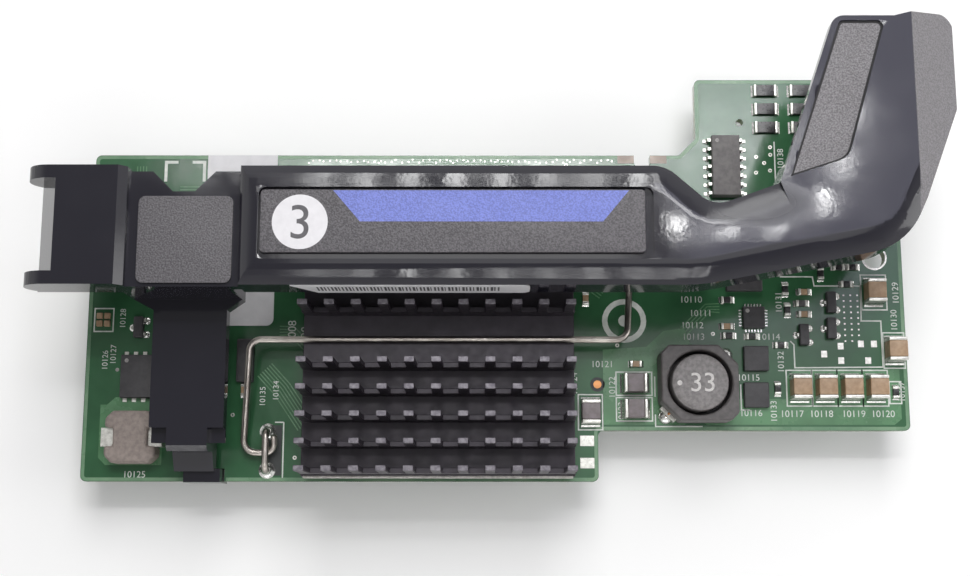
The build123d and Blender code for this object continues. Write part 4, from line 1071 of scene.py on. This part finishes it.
class CARD_OT_handle(bpy.types.Operator):
    """Dresses the moulded handle and its textured pads"""

    bl_idname = "card.handle"
    bl_label = "Carrier handle"

    def execute(self, context):
        look = context.scene.card_handle
        plastic = gloss_plastic(tuple(look.plastic), tuple(look.grip))
        eased("carrier_handle", "carrier_handle_body", plastic, HANDLE_EDGE,
              segments=3, smooth=25.0, cuts=HANDLE_CUTS)
        texture = textured_plastic("black moulded plastic, spark textured", tuple(look.pad))
        # The grip pad: the pads' texture in a paler grey, painted sheen of the light on the grip
        worn = textured_plastic("black moulded plastic, textured and worn", tuple(look.grip))
        top = node_box("carrier_handle")[1][2]
        plate = top - THUMB_DROP
        thumb = block((*THUMB_PAD[0], plate - THUMB_SUNK), (*THUMB_PAD[1], plate + THUMB_PROUD),
                      corner=0.9, edge=0.06)
        piece("thumb_pad_face", [thumb], texture)
        outline, bed = round_corners(GRIP_PAD, GRIP_PAD_RADII), top - PAD_RECESS
        piece("grip_pad_face", [slab(outline, bed - PAD_SUNK, bed + PAD_PROUD)], worn)
        # A near-black strip along the grip pad's edge: painted shade in the groove
        groove = ribbon(outline, GROOVE_SHADE_WIDTH, bed - PAD_SUNK, bed + GROOVE_SHADE_PROUD, closed=True)
        piece("grip_pad_groove", [groove], finish("black plastic in the groove"))
        return {"FINISHED"}


# Strip label: how many bars, the blank round them, their least width and what the beat adds, and their depth
BAR_COUNT = 52
BAR_LEFT, BAR_RIGHT, BAR_BELOW, BAR_ABOVE = 3.2, 3.6, 1.5, 0.9
BAR_LEAST, BAR_MORE = 0.12, 0.2
BAR_SUNK, BAR_PROUD = 0.02, 0.008


def strip_bars(low, high):
    """Plain upright bars on the strip: widths follow a repeating beat, not a code."""
    index = np.arange(BAR_COUNT)
    beat = 0.5 + 0.5 * np.sin(index * 2.4) * np.cos(index * 0.7)
    width = BAR_LEAST + BAR_MORE * beat
    pitch = (high[0] - low[0] - BAR_LEFT - BAR_RIGHT) / BAR_COUNT
    left = low[0] + BAR_LEFT + index * pitch
    bottom, top = low[2] + BAR_BELOW, high[2] - BAR_ABOVE
    shapes = []
    for a, w in zip(left, width):
        bar = np.array([(a, bottom), (a + w, bottom), (a + w, top), (a, top)])
        rings = np.stack([np.column_stack([bar[:, 0], np.full(4, depth), bar[:, 1]])
                          for depth in (low[1] + BAR_SUNK, low[1] - BAR_PROUD)])
        shapes.append(carried(rings))
    return shapes


class CARD_OT_labels(bpy.types.Operator):
    """Makes the handle's label plate with its print, and the paper labels"""

    bl_idname = "card.labels"
    bl_label = "Labels"

    def execute(self, context):
        look = context.scene.card_handle
        low, high = node_box("handle_label")
        top = high[2]
        under, over = top - INK_SUNK, top + INK_PROUD
        # Film with the pads' own texture, so that plate and pads match
        film = textured_plastic("grey polycarbonate label film", tuple(look.pad))
        stand_in("label_plate", "handle_label", [block(low, high, corner=0.5, edge=0.1)], film)
        # Ink thin enough for the film's grain to show through
        band = textured_plastic("blue screen ink on textured film", tuple(look.band), 0.7)
        piece("label_band", [slab(LABEL_BAND, under, over)], band)
        x, y, radius = LABEL_DISC
        piece("label_disc", [disc(x, y, radius, under, over, 48)], finish("white screen ink"))
        figure = numeral(look.figure, x, y, LABEL_FIGURE_SIZE, top, top + LABEL_FIGURE_PROUD)
        piece("label_figure", [figure], finish("dark grey screen ink"))
        for node in ("board_label", "strip_label"):
            dress(node, finish("white paper label"))
        bars = strip_bars(*node_box("strip_label"))
        piece("strip_bars", bars, finish("black thermal print"))
        return {"FINISHED"}


class CARD_OT_underside(bpy.types.Operator):
    """Dresses the connector, its contacts and the screws under the board"""

    bl_idname = "card.underside"
    bl_label = "Underside"

    def execute(self, context):
        body = finish("black liquid crystal polymer")
        eased("connector_housing", "connector_body", body, width=0.2)
        dress("connector_contacts", finish("gold over nickel"))
        dress("handle_screws", finish("zinc plated steel"))
        return {"FINISHED"}


# Rows of narrow lamps round the bar: lean to the rear in degrees, length, width and share of the power
LAMP_ROWS = [
    ("near", 17.5, 0.04, 0.007, 0.9),
    ("rear", 37.0, 0.34, 0.007, 1.0),
    ("front", -29.0, 0.2, 0.003, 0.45),
]
LAMP_AXIS = (0.015, 0.03)
LAMP_REACH = 0.43
LAMP_COUNT = 11
LAMP_FIRST = -0.0728
LAMP_PITCH = 0.02
# Small lamps overhead, which glint in the level top of the bend and the grip
SMALL_LAMPS = [(0.086, 0.111), (0.108, 0.111), (0.13, 0.112), (0.152, 0.121), (0.161, 0.139), (0.167, 0.162)]
SMALL_HEIGHT, SMALL_SIZE = 0.47, (0.004, 0.009)
# Panels: place, target, length and width in metres, and colour; their powers are in the stage's settings
WHITE = (1, 1, 1)
PANELS = {
    "right_panel": ((0.17, 0.16, 0.48), (0.17, 0.16, 0.0), (0.16, 0.18), (0.88, 0.88, 1.1)),
    "label_panel": ((-0.015, 0.108, 0.5), (-0.015, 0.108, 0.0), (0.17, 0.04), WHITE),
    "top_panel": ((0.055, 0.03, 0.5), (0.055, 0.03, 0.0), (0.29, 0.1), WHITE),
    "front_panel": ((0.0, -0.35, 0.08), (0.0, 0.0, 0.02), (0.4, 0.08), WHITE),
    "line_lamp": ((-0.045, 0.15, 0.48), (-0.045, 0.15, 0.0), (0.21, 0.008), WHITE),
    "side_panel": ((0.45, 0.0, 0.25), (0.06, 0.03, 0.025), (0.25, 0.25), WHITE),
}
# Room: the front's share of the sky's light, the ceiling as mirrored, and the floor with its fade to white
FRONT_SHARE, CEILING = 0.4, 0.3
FLOOR_SIZE = 4.0
FADE_FROM, FADE_FULL = 0.15, 0.4


def looked_at(tree):
    """One for a ray from the camera, from a mirroring face or through glass, and nought for lighting."""
    path = add(tree, "ShaderNodeLightPath").outputs
    seen = path["Is Camera Ray"]
    for kind in ("Is Glossy Ray", "Is Transmission Ray"):
        seen = add(tree, "ShaderNodeMath", {0: seen, 1: path[kind]}, operation="MAXIMUM").outputs["Value"]
    return seen


def studio_sky(strength):
    """White walls under a dim ceiling; the light falls off from the rear to the front."""
    world = bpy.data.worlds.new("studio")
    world.use_nodes = True
    tree = world.node_tree
    way = add(tree, "ShaderNodeTexCoord").outputs["Generated"]
    part = add(tree, "ShaderNodeSeparateXYZ", {"Vector": way}).outputs
    glow = add(tree, "ShaderNodeMapRange", {
        "Value": part["Y"], "From Min": -0.7, "From Max": 0.5,
        "To Min": FRONT_SHARE * strength, "To Max": strength,
    }).outputs["Result"]
    tree.nodes["Background"].inputs["Color"].default_value = (*WHITE, 1)
    room = add(tree, "ShaderNodeMapRange", {
        "Value": part["Z"], "From Min": 0.55, "From Max": 0.95, "To Min": 1.0, "To Max": CEILING,
    }).outputs["Result"]
    white = add(tree, "ShaderNodeMix", {"Factor": looked_at(tree), "A": glow, "B": room}).outputs["Result"]
    tree.links.new(white, tree.nodes["Background"].inputs["Strength"])
    return world


def sheet(name, size, material):
    """A square stage piece, level, about the origin."""
    mesh = bpy.data.meshes.new(name)
    corners = np.array([(-1, -1, 0), (1, -1, 0), (1, 1, 0), (-1, 1, 0)]) * size / 2
    mesh.from_pydata(corners, [], [(0, 1, 2, 3)])
    mesh.materials.append(material)
    thing = bpy.data.objects.new(name, mesh)
    bpy.context.collection.objects.link(thing)


def posed(axes, place):
    """A turn, its axes as columns, and a place as one matrix."""
    turn = np.eye(4)
    turn[:3, :3], turn[:3, 3] = axes, place
    return Matrix(turn.tolist())


def lamp(name, place, target, size, power, colour=WHITE):
    """An oblong lamp at a place, facing a target."""
    data = bpy.data.lights.new(name, "AREA")
    data.color = colour
    data.shape = "RECTANGLE"
    data.size, data.size_y = size
    data.energy = power
    holder = bpy.data.objects.new(name, data)
    bpy.context.collection.objects.link(holder)
    holder.matrix_world = facing(place, target)
    holder.visible_camera = False


def facing(place, target):
    """A lamp's place and turn, looking at a target with its long side level."""
    place, target = np.array(place), np.array(target)
    back = (place - target) / np.linalg.norm(place - target)
    right = np.cross((0, 1, 0), back)
    right = right / np.linalg.norm(right)
    return posed(np.column_stack([right, np.cross(back, right), back]), place)


def photo_camera():
    """The fitted camera: tilted up from straight down, rolled, and the board yawed under it."""
    tilt, yaw, roll = (math.radians(a) for a in (CAMERA_TILT, CAMERA_YAW, CAMERA_ROLL))
    right = np.array([1.0, 0.0, 0.0])
    up = np.array([0.0, math.cos(tilt), math.sin(tilt)])
    back = np.array([0.0, -math.sin(tilt), math.cos(tilt)])
    axes = np.column_stack([
        math.cos(roll) * right + math.sin(roll) * up, math.cos(roll) * up - math.sin(roll) * right, back,
    ])
    spin = np.array([[math.cos(yaw), math.sin(yaw), 0], [-math.sin(yaw), math.cos(yaw), 0], [0, 0, 1]])
    return posed(spin @ axes, np.array(CAMERA_PLACE) * MM + CORNER)


class CARD_OT_stage(bpy.types.Operator):
    """Sets the floor, the light and the camera of the photograph"""

    bl_idname = "card.stage"
    bl_label = "Stage"

    def execute(self, context):
        look = context.scene.card_stage
        # Matte card: near white, and plain white to the eye further away
        pale, tree, principled = surface("pale floor", base_color=(*look.floor, 1), roughness=0.9)
        principled.inputs["Emission Color"].default_value = (*WHITE, 1)
        place = add(tree, "ShaderNodeTexCoord").outputs["Object"]
        away = add(tree, "ShaderNodeVectorMath", {0: place}, operation="LENGTH").outputs["Value"]
        white = add(tree, "ShaderNodeMapRange", {
            "Value": away, "From Min": FADE_FROM, "From Max": FADE_FULL,
            "To Min": look.backdrop, "To Max": 1.0,
        }).outputs["Result"]
        glow = add(tree, "ShaderNodeMath", {0: looked_at(tree), 1: white}, operation="MULTIPLY")
        tree.links.new(glow.outputs["Value"], principled.inputs["Emission Strength"])
        sheet("floor", FLOOR_SIZE, pale)
        context.scene.world = studio_sky(look.sky)
        for row, lean, length, width, share in LAMP_ROWS:
            turn = math.radians(lean)
            away = LAMP_REACH * np.array([0.0, math.sin(turn), math.cos(turn)])
            for i in range(LAMP_COUNT):
                axis = np.array([LAMP_FIRST + i * LAMP_PITCH, *LAMP_AXIS])
                amount = look.strip * length * share
                lamp(f"{row}_lamp_{i:02d}", axis + away, axis, (width, length), amount)
        for i, (x, y) in enumerate(SMALL_LAMPS):
            lamp(f"small_lamp_{i}", (x, y, SMALL_HEIGHT), (x, y, 0.0), SMALL_SIZE, look.small)
        for name, (place, target, size, colour) in PANELS.items():
            lamp(name, place, target, size, getattr(look, name.split("_")[0]), colour)

        camera = bpy.data.cameras.new("camera")
        camera.sensor_width = SENSOR_MM
        camera.sensor_fit = "HORIZONTAL"
        camera.lens = SENSOR_MM * FOCAL_PIXELS / IMAGE_WIDTH
        camera.clip_start = 0.005
        viewer = bpy.data.objects.new("camera", camera)
        context.collection.objects.link(viewer)
        viewer.matrix_world = photo_camera()
        context.scene.camera = viewer
        context.scene.view_settings.view_transform = "Standard"
        return {"FINISHED"}


OPERATORS = (
    CARD_OT_board, CARD_OT_copper, CARD_OT_print, CARD_OT_chips, CARD_OT_packages, CARD_OT_inductors,
    CARD_OT_heat_sink, CARD_OT_spring_clip, CARD_OT_handle, CARD_OT_labels, CARD_OT_underside, CARD_OT_stage,
)


class CARD_PT_panel(bpy.types.Panel):
    """Lists the card's pieces and their looks"""

    bl_idname = "CARD_PT_panel"
    bl_label = "Mezzanine network card"
    bl_space_type = "VIEW_3D"
    bl_region_type = "UI"
    bl_category = "Card"

    def draw(self, context):
        for look in (context.scene.card_board, context.scene.card_handle, context.scene.card_stage):
            for name in look.__annotations__:
                self.layout.prop(look, name)
        for operator in OPERATORS:
            self.layout.operator(operator.bl_idname)


LOOKS = {"card_board": CardBoardLook, "card_handle": CardHandleLook, "card_stage": CardStageLook}
CLASSES = (*LOOKS.values(), *OPERATORS, CARD_PT_panel)


def register():
    """Adds the classes and the scene's settings."""
    for item in CLASSES:
        bpy.utils.register_class(item)
    for name, look in LOOKS.items():
        setattr(bpy.types.Scene, name, PointerProperty(type=look))


def unregister():
    """Takes them away again."""
    for name in LOOKS:
        delattr(bpy.types.Scene, name)
    for item in reversed(CLASSES):
        bpy.utils.unregister_class(item)


def main():
    """Dresses the card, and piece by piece."""
    register()
    bpy.ops.card.board()
    bpy.ops.card.copper()
    bpy.ops.card.print()
    bpy.ops.card.chips()
    bpy.ops.card.packages()
    bpy.ops.card.inductors()
    bpy.ops.card.heat_sink()
    bpy.ops.card.spring_clip()
    bpy.ops.card.handle()
    bpy.ops.card.labels()
    bpy.ops.card.underside()
    bpy.ops.card.stage()


if __name__ == "__main__":
    main()
